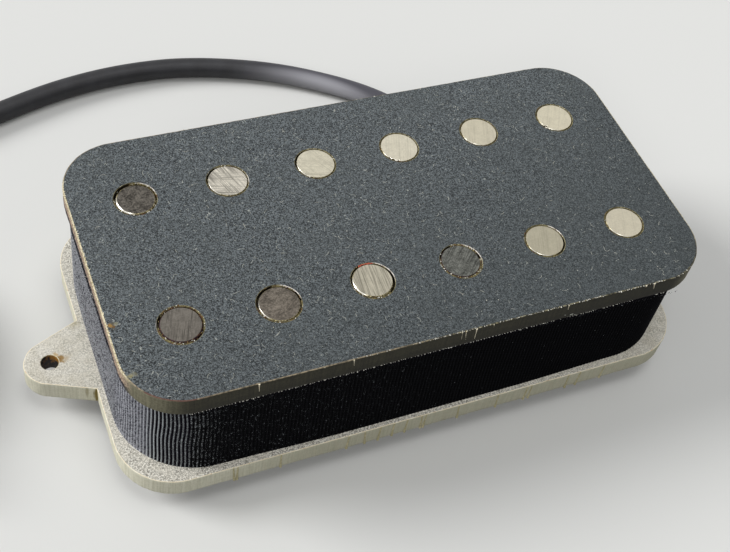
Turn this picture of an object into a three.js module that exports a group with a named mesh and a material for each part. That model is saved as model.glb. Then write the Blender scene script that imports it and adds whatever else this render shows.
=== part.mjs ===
// Guitar pickup with two coils side by side, each wound round six rod magnets.
// Two fibre plates hold the rods, woven tape binds the coils, and a four wire lead leaves under the base.
// Millimetres. X runs along the rows of rods, Y points to the side where the lead leaves, Z is up.
// The origin is at the middle of the base outline, level with the tips of the rods.
import * as THREE from "three";

// Rods
const stringSpacing = 10.66;
const rowSpacing = 17.9;
const rowShift = -0.25;
const rodsPerRow = 6;
const rodDiameter = 4.76;
const rodBevel = 0.15;
const rodClearance = 0.08;

// Windings and their tape. A winding reaches this far past the middle of its end rods.
const windingEndReach = 6.5;
const windingGap = 1.9;
const wrapThickness = 0.55;
const coilGap = 0.35;
const coilHeadroom = 0.25;
const coreTapeThickness = 0.35;
const coreClearance = 0.12;

// Plates: the top overhangs the woven tape, and the base has a rim round it.
const plateGap = 11.8;
const topOverhang = 0.1;
const topCorner = 6.6;
const topThickness = 2.5;
const baseRim = 1.02;
const baseCorner = 6.6;
const baseThickness = 2.6;

// Ears of the base: the hole's distance from the end of the base, and the ear's width there
const earReach = 4.13;
const earHoleDiameter = 2;
const earTipRadius = 2.9;
const earRootWidth = 9.8;

// Lead under the base and beyond it
const jacketDiameter = 2.8;
const jacketHeadroom = 0.3;
const jacketEdgeInset = 0.25;
const jacketPastRow = 3.95;
const jointGap = 0.3;
const surfaceGap = 0.05;
const conductorDiameter = 0.85;
const conductorGap = 0.15;
const shieldDiameter = 0.5;

// Eyelets, their solder and the wires that come down from the windings
const eyeletSpanX = 16;
const eyeletSpanY = 6;
const groundEyeletY = -4.6;
const eyeletBore = 1.4;
const eyeletBarrel = 2;
const eyeletFlange = 3;
const eyeletFlangeThickness = 0.3;
const eyeletClearance = 0.06;
const solderHeight = 0.7;
const solderSpread = 2.5;
const leadOutDiameter = 0.5;
const leadOutHole = 0.9;
const leadOutReachX = 2.9;
const leadOutReachY = 1.7;
const leadOutRise = 1.6;
const wireClearance = 0.1;
const shieldGap = 0.05;

// Bead of glue that holds the jacket to the base
const glueRodGap = 0.4;
const glueLength = 5;
const glueFromEdge = 2.2;
const glueFloorGap = 0.7;
const glueChannelClearance = 0.15;

// Stored turns of the lead, and the tie round them
const turns = 3.25;
const turnInnerRadius = 13;
const turnGap = 0.5;
const turnCentre = [-67.2, 9.95];
const turnStartDegrees = 120;
const entryRun = 6;
const tieAngleDegrees = 300;
const tieThickness = 0.25;
const tieClearance = 0.1;
const tieWidth = 3;

// Bared end of the lead
const bareLength = 16;
const bareSpread = 9;
const tipDiameter = 0.5;
const tipLength = 4;

// Route of the free lead on the surface, seen from above, from the base to the stored turns.
const leadRoute = [
  [21.05, 22],
  [20.75, 24.8],
  [19.9, 27.8],
  [18.4, 30.9],
  [16.4, 33.8],
  [14, 36.3],
  [11.3, 38.5],
  [8.2, 40.6],
  [5, 42.5],
  [1, 44.4],
  [-3.1, 45.9],
  [-7.3, 47.1],
  [-12, 47.95],
  [-17.3, 48.2],
  [-22.5, 47.9],
  [-28, 47],
  [-33.6, 45.5],
  [-42.6, 42.5],
  [-51.5, 39.05],
  [-60.1, 34.95],
];

// Route from the stored turns to the bared end, and how much of the drop is left at each point.
const tailRoute = [
  [-80.1, -4.5],
  [-78.5, -7],
  [-76.7, -9.4],
  [-74.8, -11.75],
  [-73.2, -13.6],
  [-71.5, -15.5],
  [-69.4, -17.6],
];
const tailDropShares = [0.915, 0.69, 0.4, 0.145, 0.02, 0, 0];

// Facets, and the distance at which two points of an outline are one
const samePoint = 1e-6;
const rodSides = 24;
const cornerSteps = 8;
const roundSteps = 14;
const smallSides = 12;
const jacketSides = 8;
const wireSides = 6;
const turnSides = 6;
const turnSteps = 24;

// Heights that follow from the sizes above
const standOff = jacketDiameter + jacketHeadroom;
const baseTop = standOff + baseThickness;
const topUnder = baseTop + plateGap;
const topFace = topUnder + topThickness;
const rodRadius = rodDiameter / 2;
const jacketRadius = jacketDiameter / 2;
const leadLevel = jacketRadius + surfaceGap;
const conductorRadius = conductorDiameter / 2;
const conductorPitch = conductorDiameter + conductorGap;
const turnPitch = jacketDiameter + turnGap;

// Outlines that follow from the rods outwards
const rodSpan = (rodsPerRow - 1) * stringSpacing;
const windingLength = rodSpan + 2 * windingEndReach;
const windingWidth = rowSpacing - windingGap;
const wrapGrowth = 2 * (coilGap + wrapThickness);
const wrapLength = windingLength + wrapGrowth;
const wrapWidth = rowSpacing + windingWidth + wrapGrowth;
const wrapCorner = (windingWidth + wrapGrowth) / 2;
const topLength = wrapLength + 2 * topOverhang;
const topWidth = wrapWidth + 2 * topOverhang;
const baseLength = wrapLength + 2 * baseRim;
const baseWidth = wrapWidth + 2 * baseRim;
const earX = baseLength / 2 + earReach;

const fibreDark = new THREE.MeshStandardMaterial({ color: 0x4a555d, roughness: 0.8 });
const fibrePale = new THREE.MeshStandardMaterial({ color: 0xb5b3a4, roughness: 0.85 });
const rodMetal = new THREE.MeshStandardMaterial({ color: 0xa9a59c, roughness: 0.35, metalness: 1 });
const copperWinding = new THREE.MeshStandardMaterial({ color: 0x8a3f1c, roughness: 0.4, metalness: 0.6 });
const paperTape = new THREE.MeshStandardMaterial({ color: 0xcdbb8c, roughness: 0.8 });
const wovenTape = new THREE.MeshStandardMaterial({ color: 0x14151a, roughness: 0.75 });
const jacketBlack = new THREE.MeshStandardMaterial({ color: 0x2b2c2f, roughness: 0.5 });
const brass = new THREE.MeshStandardMaterial({ color: 0xb99a4b, roughness: 0.3, metalness: 1 });
const solder = new THREE.MeshStandardMaterial({ color: 0xb9bcc0, roughness: 0.3, metalness: 1 });
const glueClear = new THREE.MeshStandardMaterial({ color: 0xcfc7ae, roughness: 0.35 });
const tinnedCopper = new THREE.MeshStandardMaterial({ color: 0xc4c2bd, roughness: 0.35, metalness: 1 });
const tieWhite = new THREE.MeshStandardMaterial({ color: 0xe4e2dc, roughness: 0.6 });
const wireColours = {
  red: new THREE.MeshStandardMaterial({ color: 0xa3201c, roughness: 0.45 }),
  white: new THREE.MeshStandardMaterial({ color: 0xdeddd6, roughness: 0.45 }),
  green: new THREE.MeshStandardMaterial({ color: 0x1f6b3a, roughness: 0.45 }),
  black: new THREE.MeshStandardMaterial({ color: 0x1b1b1c, roughness: 0.45 }),
};

const group = new THREE.Group();

function add(name, geometry, material) {
  const mesh = new THREE.Mesh(geometry, material);
  mesh.name = name;
  group.add(mesh);
  return mesh;
}

// Points of an arc, both ends included.
function arc(x, y, radius, from, to, steps) {
  const points = [];
  for (let i = 0; i <= steps; i++) {
    const angle = from + ((to - from) * i) / steps;
    points.push(new THREE.Vector2(x + radius * Math.cos(angle), y + radius * Math.sin(angle)));
  }
  return points;
}

// A full circle as a closed outline, without its last point twice.
function circle(x, y, radius, sides) {
  return arc(x, y, radius, 0, 2 * Math.PI, sides).slice(0, -1);
}

// Rounded rectangle about (x, y), or an obround where the corner is half the width.
function roundedOutline(x, y, length, width, corner, steps) {
  const dx = length / 2 - corner;
  const dy = width / 2 - corner;
  const quarter = Math.PI / 2;
  return [
    ...arc(x + dx, y + dy, corner, 0, quarter, steps),
    ...arc(x - dx, y + dy, corner, quarter, 2 * quarter, steps),
    ...arc(x - dx, y - dy, corner, 2 * quarter, 3 * quarter, steps),
    ...arc(x + dx, y - dy, corner, 3 * quarter, 4 * quarter, steps),
  ].filter((p, i, all) => i === 0 || p.distanceTo(all[i - 1]) > samePoint);
}

// A flat piece of one outline with holes, from one height to another.
function slab(outline, holes, bottom, top) {
  const shape = new THREE.Shape(outline);
  shape.holes = holes.map((hole) => new THREE.Path(hole));
  const geometry = new THREE.ExtrudeGeometry(shape, { depth: top - bottom, bevelEnabled: false });
  return geometry.translate(0, 0, bottom);
}

function rodX(index) {
  return rowShift + (index - (rodsPerRow - 1) / 2) * stringSpacing;
}

// Middle of each rod, front row first, from left to right.
const rows = [
  { name: "front", y: -rowSpacing / 2 },
  { name: "back", y: rowSpacing / 2 },
];
const rodPlaces = rows.flatMap((row) =>
  Array.from({ length: rodsPerRow }, (_, i) => ({ name: `${row.name}_${i + 1}`, x: rodX(i), y: row.y })),
);
const rodHoles = rodPlaces.map((rod) => circle(rod.x, rod.y, rodRadius + rodClearance, rodSides));

// The lead runs between the last two rods of the back row.
const leadX = (rodX(rodsPerRow - 2) + rodX(rodsPerRow - 1)) / 2;

// One eyelet for each end of each winding, and one for the shield.
const eyelets = [
  { name: "front_start", x: eyeletSpanX / 2, y: -eyeletSpanY / 2 },
  { name: "front_finish", x: -eyeletSpanX / 2, y: -eyeletSpanY / 2 },
  { name: "back_start", x: eyeletSpanX / 2, y: eyeletSpanY / 2 },
  { name: "back_finish", x: -eyeletSpanX / 2, y: eyeletSpanY / 2 },
];

// The shield lies in the hollow beside two conductors, this far from the jacket's middle.
const shieldSeat =
  conductorPitch / 2 +
  Math.sqrt((conductorRadius + shieldDiameter / 2 + shieldGap) ** 2 - (conductorPitch / 2) ** 2);
const groundEyelet = { name: "shield", x: leadX + shieldSeat, y: groundEyeletY };
const allEyelets = [...eyelets, groundEyelet];

// Hole in the base through which a winding's end comes down, beside its eyelet.
function leadOutPlace(eyelet) {
  return {
    x: eyelet.x + Math.sign(eyelet.x) * leadOutReachX,
    y: eyelet.y + Math.sign(eyelet.y) * leadOutReachY,
  };
}

function topPlate() {
  const outline = roundedOutline(0, 0, topLength, topWidth, topCorner, cornerSteps);
  return slab(outline, rodHoles, topUnder, topFace);
}

// Outline of the base, anticlockwise, with an ear at each end whose sides run tangent to its round tip.
function baseOutline() {
  const endX = baseLength / 2;
  const sideY = baseWidth / 2;
  const rootY = earRootWidth / 2;
  const toRoot = Math.atan2(rootY, -earReach);
  const reach = Math.hypot(rootY, earReach);
  const tangent = toRoot - Math.acos(earTipRadius / reach);
  const quarter = Math.PI / 2;
  const cx = endX - baseCorner;
  const cy = sideY - baseCorner;
  return [
    new THREE.Vector2(endX, -rootY),
    ...arc(earX, 0, earTipRadius, -tangent, tangent, cornerSteps),
    new THREE.Vector2(endX, rootY),
    ...arc(cx, cy, baseCorner, 0, quarter, cornerSteps),
    ...arc(-cx, cy, baseCorner, quarter, 2 * quarter, cornerSteps),
    new THREE.Vector2(-endX, rootY),
    ...arc(-earX, 0, earTipRadius, 2 * quarter - tangent, 2 * quarter + tangent, cornerSteps),
    new THREE.Vector2(-endX, -rootY),
    ...arc(-cx, -cy, baseCorner, 2 * quarter, 3 * quarter, cornerSteps),
    ...arc(cx, -cy, baseCorner, 3 * quarter, 4 * quarter, cornerSteps),
  ];
}

function basePlate() {
  const earHoles = [-1, 1].map((side) => circle(side * earX, 0, earHoleDiameter / 2, rodSides));
  const eyeletHoles = allEyelets.map((e) => circle(e.x, e.y, eyeletBarrel / 2 + eyeletClearance, smallSides));
  const wireHoles = eyelets.map((e) => {
    const place = leadOutPlace(e);
    return circle(place.x, place.y, leadOutHole / 2, smallSides);
  });
  return slab(baseOutline(), [...rodHoles, ...earHoles, ...eyeletHoles, ...wireHoles], standOff, baseTop);
}

// Turned piece from a profile of [radius, height] pairs that starts and ends on the axis or closes on itself.
function turned(profile, sides) {
  return new THREE.LatheGeometry(
    profile.map(([r, z]) => new THREE.Vector2(r, z)),
    sides,
  ).rotateX(Math.PI / 2);
}

function rod(place) {
  const profile = [
    [0, 0],
    [rodRadius - rodBevel, 0],
    [rodRadius, rodBevel],
    [rodRadius, topFace - rodBevel],
    [rodRadius - rodBevel, topFace],
    [0, topFace],
  ];
  return turned(profile, rodSides).translate(place.x, place.y, 0);
}

// Tape sleeve round the six rods of a row, on which the winding lies.
function coreTape(y) {
  const inner = rodRadius + coreClearance;
  const outer = inner + coreTapeThickness;
  const ring = (radius) =>
    roundedOutline(rowShift, y, rodSpan + 2 * radius, 2 * radius, radius, roundSteps / 2);
  return slab(ring(outer), [ring(inner)], baseTop, topUnder - coilHeadroom);
}

// One winding: an oblong ring between the core tape and the woven tape.
function winding(y) {
  const inner = rodRadius + 2 * coreClearance + coreTapeThickness;
  const outside = roundedOutline(0, y, windingLength, windingWidth, windingWidth / 2, roundSteps / 2);
  const inside = roundedOutline(rowShift, y, rodSpan + 2 * inner, 2 * inner, inner, roundSteps / 2);
  return slab(outside, [inside], baseTop, topUnder - coilHeadroom);
}

// Woven tape pulled round both windings, so its corners share their centres.
function wrap() {
  const outside = roundedOutline(0, 0, wrapLength, wrapWidth, wrapCorner, cornerSteps);
  const inset = 2 * wrapThickness;
  const inside = roundedOutline(
    0,
    0,
    wrapLength - inset,
    wrapWidth - inset,
    wrapCorner - wrapThickness,
    cornerSteps,
  );
  return slab(outside, [inside], baseTop, topUnder);
}

function eyelet(place) {
  const bore = eyeletBore / 2;
  const barrel = eyeletBarrel / 2;
  const under = standOff - eyeletFlangeThickness;
  const profile = [
    [bore, under],
    [eyeletFlange / 2, under],
    [eyeletFlange / 2, standOff],
    [barrel, standOff],
    [barrel, baseTop],
    [bore, baseTop],
    [bore, under],
  ];
  return turned(profile, smallSides).translate(place.x, place.y, 0);
}

// Solder: a plug that fills the bore and a drop that hangs under the flange.
function solderDrop(place) {
  const under = standOff - eyeletFlangeThickness - eyeletClearance;
  const plug = eyeletBore / 2 - eyeletClearance;
  const spread = solderSpread / 2;
  const dome = (share) => under - solderHeight * Math.sin((share * Math.PI) / 2);
  const drop = (share) => spread * Math.cos((share * Math.PI) / 2);
  const profile = [
    [0, dome(1)],
    [drop(2 / 3), dome(2 / 3)],
    [drop(1 / 3), dome(1 / 3)],
    [spread, under],
    [plug, under],
    [plug, baseTop],
    [0, baseTop],
  ];
  return turned(profile, smallSides).translate(place.x, place.y, 0);
}

function section(diameter, sides) {
  return new THREE.Shape(circle(0, 0, diameter / 2, sides));
}

// Round wire or jacket along a smooth curve through the points.
function tube(points, diameter, sides, steps) {
  const path = new THREE.CatmullRomCurve3(points, false, "centripetal");
  return new THREE.ExtrudeGeometry(section(diameter, sides), { steps, extrudePath: path, bevelEnabled: false });
}

const vector = (x, y, z) => new THREE.Vector3(x, y, z);

// Winding end: down through its hole, then flat under the base to the solder.
function leadOut(e) {
  const hole = leadOutPlace(e);
  const z = standOff - leadOutDiameter / 2 - wireClearance;
  const towards = vector(hole.x - e.x, hole.y - e.y, 0).normalize();
  const stop = solderSpread / 2 + wireClearance;
  const end = vector(e.x, e.y, z - solderHeight / 2).addScaledVector(towards, stop);
  const corner = vector(hole.x, hole.y, z);
  const points = [
    vector(hole.x, hole.y, baseTop - coilHeadroom),
    vector(hole.x, hole.y, standOff + leadOutRise / 2),
    corner.clone().addScaledVector(towards, -leadOutDiameter / 2).setZ(z + leadOutDiameter / 2),
    end.clone().lerp(corner, 1 / 2),
    end,
  ];
  return tube(points, leadOutDiameter, wireSides - 1, smallSides);
}

// The jacket under the base, from the glue at its edge to where the conductors spread.
const jacketEnd = baseWidth / 2 - jacketEdgeInset;
const jacketStart = rowSpacing / 2 - jacketPastRow;

function jacketUnder() {
  const points = [vector(leadX, jacketStart, leadLevel), vector(leadX, jacketEnd, leadLevel)];
  return tube(points, jacketDiameter, jacketSides, 1);
}

// Glue bead across the jacket, with a channel for it.
function glueBead() {
  const half = (stringSpacing - rodDiameter) / 2 - glueRodGap;
  const channel = jacketRadius + glueChannelClearance;
  const low = glueFloorGap - leadLevel;
  const mouth = Math.sqrt(channel ** 2 - low ** 2);
  const angle = Math.atan2(low, mouth);
  const lip = (half + mouth) / 2;
  const outline = [
    new THREE.Vector2(half, standOff),
    new THREE.Vector2(-half, standOff),
    new THREE.Vector2(-lip, glueFloorGap),
    ...arc(0, leadLevel, channel, Math.PI - angle, angle, roundSteps),
    new THREE.Vector2(lip, glueFloorGap),
  ].reverse();
  const geometry = slab(outline, [], 0, glueLength).rotateX(Math.PI / 2);
  return geometry.translate(leadX, jacketEnd - glueFromEdge, 0);
}

// Where each conductor sits in the jacket's end, as shares of the pitch: across, then up from its middle.
const conductors = [
  { colour: "red", acrossShare: -0.5, upShare: 0.5 },
  { colour: "white", acrossShare: -0.5, upShare: -0.5 },
  { colour: "green", acrossShare: 0.5, upShare: 0.5 },
  { colour: "black", acrossShare: 0.5, upShare: -0.5 },
];

// A conductor under the base, from the jacket to the side of its solder.
function conductorUnder(conductor, target, waypoints) {
  const startX = leadX + conductor.acrossShare * conductorPitch;
  const startZ = leadLevel + conductor.upShare * conductorPitch;
  const startY = jacketStart - jointGap;
  const endZ = standOff - eyeletFlangeThickness - conductorRadius - wireClearance;
  const side = Math.sign(leadX - target.x);
  const stop = solderSpread / 2 + wireClearance;
  const end = vector(target.x + side * stop, target.y, endZ);
  const between = waypoints.map(([alongShare, startShare, eyeletShare, laneShare, riseShare]) =>
    vector(
      startX + (end.x - startX) * alongShare,
      startY * startShare + target.y * eyeletShare + conductorPitch * laneShare,
      startZ + (endZ - startZ) * riseShare,
    ),
  );
  const points = [
    vector(startX, startY, startZ),
    vector(startX, startY - conductorDiameter, startZ),
    ...between,
    vector(end.x + side * conductorDiameter, end.y, endZ),
    end,
  ];
  return tube(points, conductorDiameter, wireSides, roundSteps);
}

// Each row gives shares of: the way along X, the jacket's Y, the eyelet's Y, the lane's pitch, and the rise.
const conductorWayShares = {
  red: [
    [0.12, 0.3, 0.6, 0, 0.1],
    [0.4, 0, 0.92, 0, 0.7],
  ],
  white: [
    [0.05, 0.45, 0, 0, 0],
    [0.22, 0.05, 0, 0.5, 0.6],
    [0.5, 0, 0, 0.55, 1],
    [0.85, 0, 0.12, 0.55, 1],
  ],
  green: [
    [0.06, 0, 0, -0.15, 0.1],
    [0.4, 0, 0.8, 0, 0.7],
  ],
  black: [
    [0.03, 0.27, 0, 0, 0],
    [0.22, 0, 0, -0.6, 0.6],
    [0.5, 0, 0, -0.6, 1],
    [0.85, 0, 0.12, -0.6, 1],
  ],
};
const conductorTargets = { red: eyelets[2], white: eyelets[3], green: eyelets[0], black: eyelets[1] };

// Shield strands twisted into one wire, down to their own eyelet.
function shieldUnder() {
  const x = groundEyelet.x;
  const endY = groundEyelet.y + solderSpread / 2 + wireClearance;
  const startY = jacketStart - jointGap;
  const endZ = standOff - eyeletFlangeThickness - conductorRadius;
  const points = [
    vector(x, startY, leadLevel),
    vector(x, startY - conductorPitch, leadLevel),
    vector(x + conductorPitch / 2, (startY + endY) / 2, (leadLevel + endZ) / 2),
    vector(x, endY + conductorPitch, endZ),
    vector(x, endY, endZ),
  ];
  return tube(points, shieldDiameter, wireSides - 1, smallSides);
}

// Centre line of the stored turns: in by one pitch a turn on the surface, then out again one layer up.
const turnLevel = tieThickness + tieClearance + leadLevel;
const turnStart = THREE.MathUtils.degToRad(turnStartDegrees);
const turnAngle = 2 * Math.PI * turns;

function turnPoint(angle) {
  const past = angle - turnAngle / 2;
  const radius = turnInnerRadius + (turnPitch * Math.abs(past)) / (2 * Math.PI);
  const climb = THREE.MathUtils.smoothstep(past, -Math.PI / 2, Math.PI / 2);
  return vector(
    turnCentre[0] + radius * Math.cos(turnStart + angle),
    turnCentre[1] + radius * Math.sin(turnStart + angle),
    turnLevel + turnPitch * climb,
  );
}

const turnStep = (2 * Math.PI) / turnSteps;
const turnFirst = turnPoint(0);
const turnLast = turnPoint(turnAngle);
const turnHeading = turnPoint(turnStep / turnSteps).sub(turnFirst).normalize();
const turnLeaving = turnLast.clone().sub(turnPoint(turnAngle - turnStep / turnSteps)).normalize();

// The turns with a straight run of one diameter at each end.
function turnLine() {
  const points = [turnFirst.clone().addScaledVector(turnHeading, -jacketDiameter)];
  const steps = Math.round(turns * turnSteps);
  for (let i = 0; i <= steps; i++) points.push(turnPoint((turnAngle * i) / steps));
  points.push(turnLast.clone().addScaledVector(turnLeaving, jacketDiameter));
  return points;
}

// Closed round tube of straight pieces through the points, for lines that never stand upright.
function sweep(points, radius, sides) {
  const positions = [];
  const index = [];
  const last = points.length - 1;
  points.forEach((point, i) => {
    const before = points[Math.max(i - 1, 0)];
    const after = points[Math.min(i + 1, last)];
    const along = after.clone().sub(before).normalize();
    const across = new THREE.Vector3(0, 0, 1).cross(along).normalize();
    const up = along.clone().cross(across);
    for (let k = 0; k < sides; k++) {
      const turn = (2 * Math.PI * (k + 1 / 2)) / sides;
      const corner = point
        .clone()
        .addScaledVector(across, radius * Math.cos(turn))
        .addScaledVector(up, radius * Math.sin(turn));
      positions.push(corner.x, corner.y, corner.z);
    }
  });
  for (let i = 0; i < last; i++) {
    for (let k = 0; k < sides; k++) {
      const a = i * sides + k;
      const b = i * sides + ((k + 1) % sides);
      index.push(a, b, a + sides, b, b + sides, a + sides);
    }
  }
  for (let k = 1; k < sides - 1; k++) {
    index.push(0, k + 1, k);
    index.push(last * sides, last * sides + k, last * sides + k + 1);
  }
  const geometry = new THREE.BufferGeometry();
  geometry.setAttribute("position", new THREE.Float32BufferAttribute(positions, 3));
  geometry.setIndex(index);
  return geometry;
}

// Least gap between two parts of the stored turns that are over a half turn apart along the tube.
function leastGap(points, diameter) {
  const apart = turnSteps / 2;
  let least = Infinity;
  for (let i = 0; i < points.length; i++) {
    for (let j = i + apart; j < points.length; j++) least = Math.min(least, points[i].distanceTo(points[j]));
  }
  return least - diameter;
}

// Free lead: straight out of the base, along the chosen route, and up to the stored turns.
function leadFree() {
  const entry = turnFirst.clone().addScaledVector(turnHeading, -jacketDiameter - jointGap);
  const points = [
    vector(leadX, jacketEnd + jointGap, leadLevel),
    ...leadRoute.map(([x, y]) => vector(x, y, leadLevel)),
    entry.clone().addScaledVector(turnHeading, -entryRun),
    entry,
  ];
  return tube(points, jacketDiameter, jacketSides, 3 * roundSteps);
}

const [tailBefore, tailEnd] = tailRoute.slice(-2).map(([x, y]) => vector(x, y, leadLevel));
const tailHeading = tailEnd.clone().sub(tailBefore).normalize();

// From the top of the stored turns down to the surface again.
function leadTail() {
  const first = turnLast.clone().addScaledVector(turnLeaving, jacketDiameter + jointGap);
  const drop = first.z - leadLevel;
  const points = [
    first,
    ...tailRoute.map(([x, y], i) => vector(x, y, leadLevel + drop * tailDropShares[i])),
  ];
  return tube(points, jacketDiameter, jacketSides, roundSteps / 2);
}

// Band of the tie: a rounded ring round all the turns at one place.
function tie() {
  const angle = THREE.MathUtils.degToRad(tieAngleDegrees);
  const clear = jacketRadius + tieClearance;
  const innerRadius = turnInnerRadius - clear;
  const outerRadius = turnInnerRadius + (turnPitch * turns) / 2 + clear;
  const low = turnLevel - clear;
  const high = turnLevel + turnPitch + clear;
  const middle = (innerRadius + outerRadius) / 2;
  const ring = (grow) =>
    roundedOutline(
      middle,
      (low + high) / 2,
      outerRadius - innerRadius + 2 * grow,
      high - low + 2 * grow,
      jacketRadius + grow,
      cornerSteps / 2,
    );
  const geometry = slab(ring(tieThickness), [ring(0)], -tieWidth / 2, tieWidth / 2);
  return geometry.rotateX(Math.PI / 2).rotateZ(angle).translate(turnCentre[0], turnCentre[1], 0);
}

// A point at the bared end: along the lead, across it and up.
function bareFrame(along, across, z) {
  const side = vector(-tailHeading.y, tailHeading.x, 0);
  return tailEnd.clone().setZ(z).addScaledVector(tailHeading, along).addScaledVector(side, across);
}

// Place of each bared wire in the spread, as a share of the half spread, from one side to the other.
const bareSpreadShares = { red: 1, white: 0.5, shield: 0, black: -0.5, green: -1 };

function barePoints(startAcross, rise, share, radius) {
  const half = bareSpread / 2;
  const startZ = leadLevel + rise;
  const restZ = radius + surfaceGap;
  return [
    bareFrame(jointGap, startAcross, startZ),
    bareFrame(jointGap + 2 * conductorDiameter, startAcross, startZ),
    bareFrame(bareLength / 3, (startAcross + half * share) / 2, (startZ + restZ) / 2),
    bareFrame((2 * bareLength) / 3, half * share, restZ),
    bareFrame(bareLength, half * share, restZ),
  ];
}

function bareWire(conductor) {
  const share = bareSpreadShares[conductor.colour];
  const across = -conductor.acrossShare * conductorPitch;
  const points = barePoints(across, conductor.upShare * conductorPitch, share, conductorRadius);
  return tube(points, conductorDiameter, wireSides, smallSides);
}

// The bare shield starts under the conductors and reaches as far as their tips.
function bareShield() {
  const points = barePoints(0, -shieldSeat, bareSpreadShares.shield, shieldDiameter / 2);
  return tube(points, shieldDiameter, wireSides - 1, smallSides);
}

function bareTip(conductor) {
  const across = (bareSpread / 2) * bareSpreadShares[conductor.colour];
  const from = bareLength + jointGap;
  const z = conductorRadius + surfaceGap;
  const points = [bareFrame(from, across, z), bareFrame(from + tipLength, across, z)];
  return tube(points, tipDiameter, wireSides, 1);
}

add("top_plate", topPlate(), fibreDark);
add("base_plate", basePlate(), fibrePale);
for (const place of rodPlaces) add(`rod_${place.name}`, rod(place), rodMetal);
for (const row of rows) {
  add(`core_tape_${row.name}`, coreTape(row.y), paperTape);
  add(`winding_${row.name}`, winding(row.y), copperWinding);
}
add("woven_wrap", wrap(), wovenTape);
for (const place of allEyelets) {
  add(`eyelet_${place.name}`, eyelet(place), brass);
  add(`solder_${place.name}`, solderDrop(place), solder);
}
for (const place of eyelets) add(`lead_out_${place.name}`, leadOut(place), copperWinding);
add("lead_under_base", jacketUnder(), jacketBlack);
add("glue_bead", glueBead(), glueClear);
for (const conductor of conductors) {
  const { colour } = conductor;
  const geometry = conductorUnder(conductor, conductorTargets[colour], conductorWayShares[colour]);
  add(`conductor_${colour}`, geometry, wireColours[colour]);
}
add("shield_pigtail", shieldUnder(), tinnedCopper);
add("lead_free", leadFree(), jacketBlack);
const storedLine = turnLine();
console.log("least gap between stored turns", leastGap(storedLine, jacketDiameter).toFixed(3), "mm");
add("lead_turns", sweep(storedLine, jacketRadius, turnSides), jacketBlack);
add("lead_tie", tie(), tieWhite);
add("lead_tail", leadTail(), jacketBlack);
for (const conductor of conductors) {
  add(`bare_wire_${conductor.colour}`, bareWire(conductor), wireColours[conductor.colour]);
  add(`bare_tip_${conductor.colour}`, bareTip(conductor), tinnedCopper);
}
add("bare_shield", bareShield(), tinnedCopper);

export default group;
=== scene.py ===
"""Looks of a guitar pickup with two coils, built round its solid model. Metres, +Z up."""

import math
import random

import bmesh
import bpy
from mathutils import Matrix, Vector, noise
from mathutils.geometry import interpolate_bezier


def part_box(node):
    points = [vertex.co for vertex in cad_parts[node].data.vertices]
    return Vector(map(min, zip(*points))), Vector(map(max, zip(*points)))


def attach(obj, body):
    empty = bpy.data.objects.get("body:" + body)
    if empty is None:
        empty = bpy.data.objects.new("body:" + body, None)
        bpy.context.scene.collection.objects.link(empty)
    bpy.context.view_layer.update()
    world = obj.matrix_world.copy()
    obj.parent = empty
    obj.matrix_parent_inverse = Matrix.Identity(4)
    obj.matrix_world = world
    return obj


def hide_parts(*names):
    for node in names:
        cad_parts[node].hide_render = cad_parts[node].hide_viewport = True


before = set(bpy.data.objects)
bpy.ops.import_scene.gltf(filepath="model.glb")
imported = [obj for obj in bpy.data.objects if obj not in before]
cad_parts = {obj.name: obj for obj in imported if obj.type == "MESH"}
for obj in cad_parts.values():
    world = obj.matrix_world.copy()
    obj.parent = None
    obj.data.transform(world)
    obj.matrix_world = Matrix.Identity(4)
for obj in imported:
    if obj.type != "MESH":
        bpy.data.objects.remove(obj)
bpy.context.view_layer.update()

MM = 0.001
UP = Vector((0, 0, 1))
FULL_TURN = 2 * math.pi
MERGE_REACH = 1e-7
LEVEL_REACH = 1e-6

# Camera, at the viewing angle of the photograph
CAMERA_PLACE = Vector((-48.522, -77.337, 120.147)) * MM
CAMERA_RIGHT = Vector((0.92018, -0.36713, 0.13594))
CAMERA_UP = Vector((0.21210, 0.75938, 0.61511))
CAMERA_BACK = Vector((-0.32906, -0.53718, 0.77663))
CAMERA_LENS = 58.677
CAMERA_SENSOR = 36

# Rods and plates
ROD_NAMES = [f"{row}_{number}" for row in ("front", "back") for number in range(1, 7)]
ROD_SIDES = 120
WAX_SIDES = 90
HOLE_SIDES = 64
TOP_CORNER = 6.6 * MM
TOP_ARRIS = 0.14 * MM
BASE_LENGTH = 70.14 * MM
BASE_CORNER = 6.6 * MM
BASE_ARRIS = 0.1 * MM
HOLE_ARRIS = 0.06 * MM
CORNER_SEGMENTS = 24
OUTLINE_STEP = 0.5 * MM
EDGE_ROUGHNESS = 0.035 * MM
TOP_LUMP = 0.7 * MM
BASE_LUMP = 0.8 * MM
RIM_REACH = 0.1 * MM
SMOOTH_REACH = 0.5 * MM
ROD_FIT = 0.05 * MM
WAX_OVERLAP = 0.01 * MM
WAX_LUMP = 0.35 * MM
EAR_REACH = 4.13 * MM
EAR_ROOT_WIDTH = 9.8 * MM
EAR_TIP_RADIUS = 2.9 * MM
EAR_HOLE_RADIUS = 1.0 * MM
EAR_HOLE_SIDES = 48

# Woven tape
WRAP_CORNER = 8.9 * MM
WRAP_ROWS = 24
RIB_PITCH = 0.42 * MM
RIB_DEPTH = 0.16 * MM
RIB_PROFILE = [-1.0, -0.3, 0.0, -0.3]
RIB_RUNOUT = 0.6 * MM
WRAP_INSET = 0.02 * MM
LAP_START_SHARE = 0.53
LAP_RUN = 9 * MM
LAP_RISE = 0.22 * MM

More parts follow.
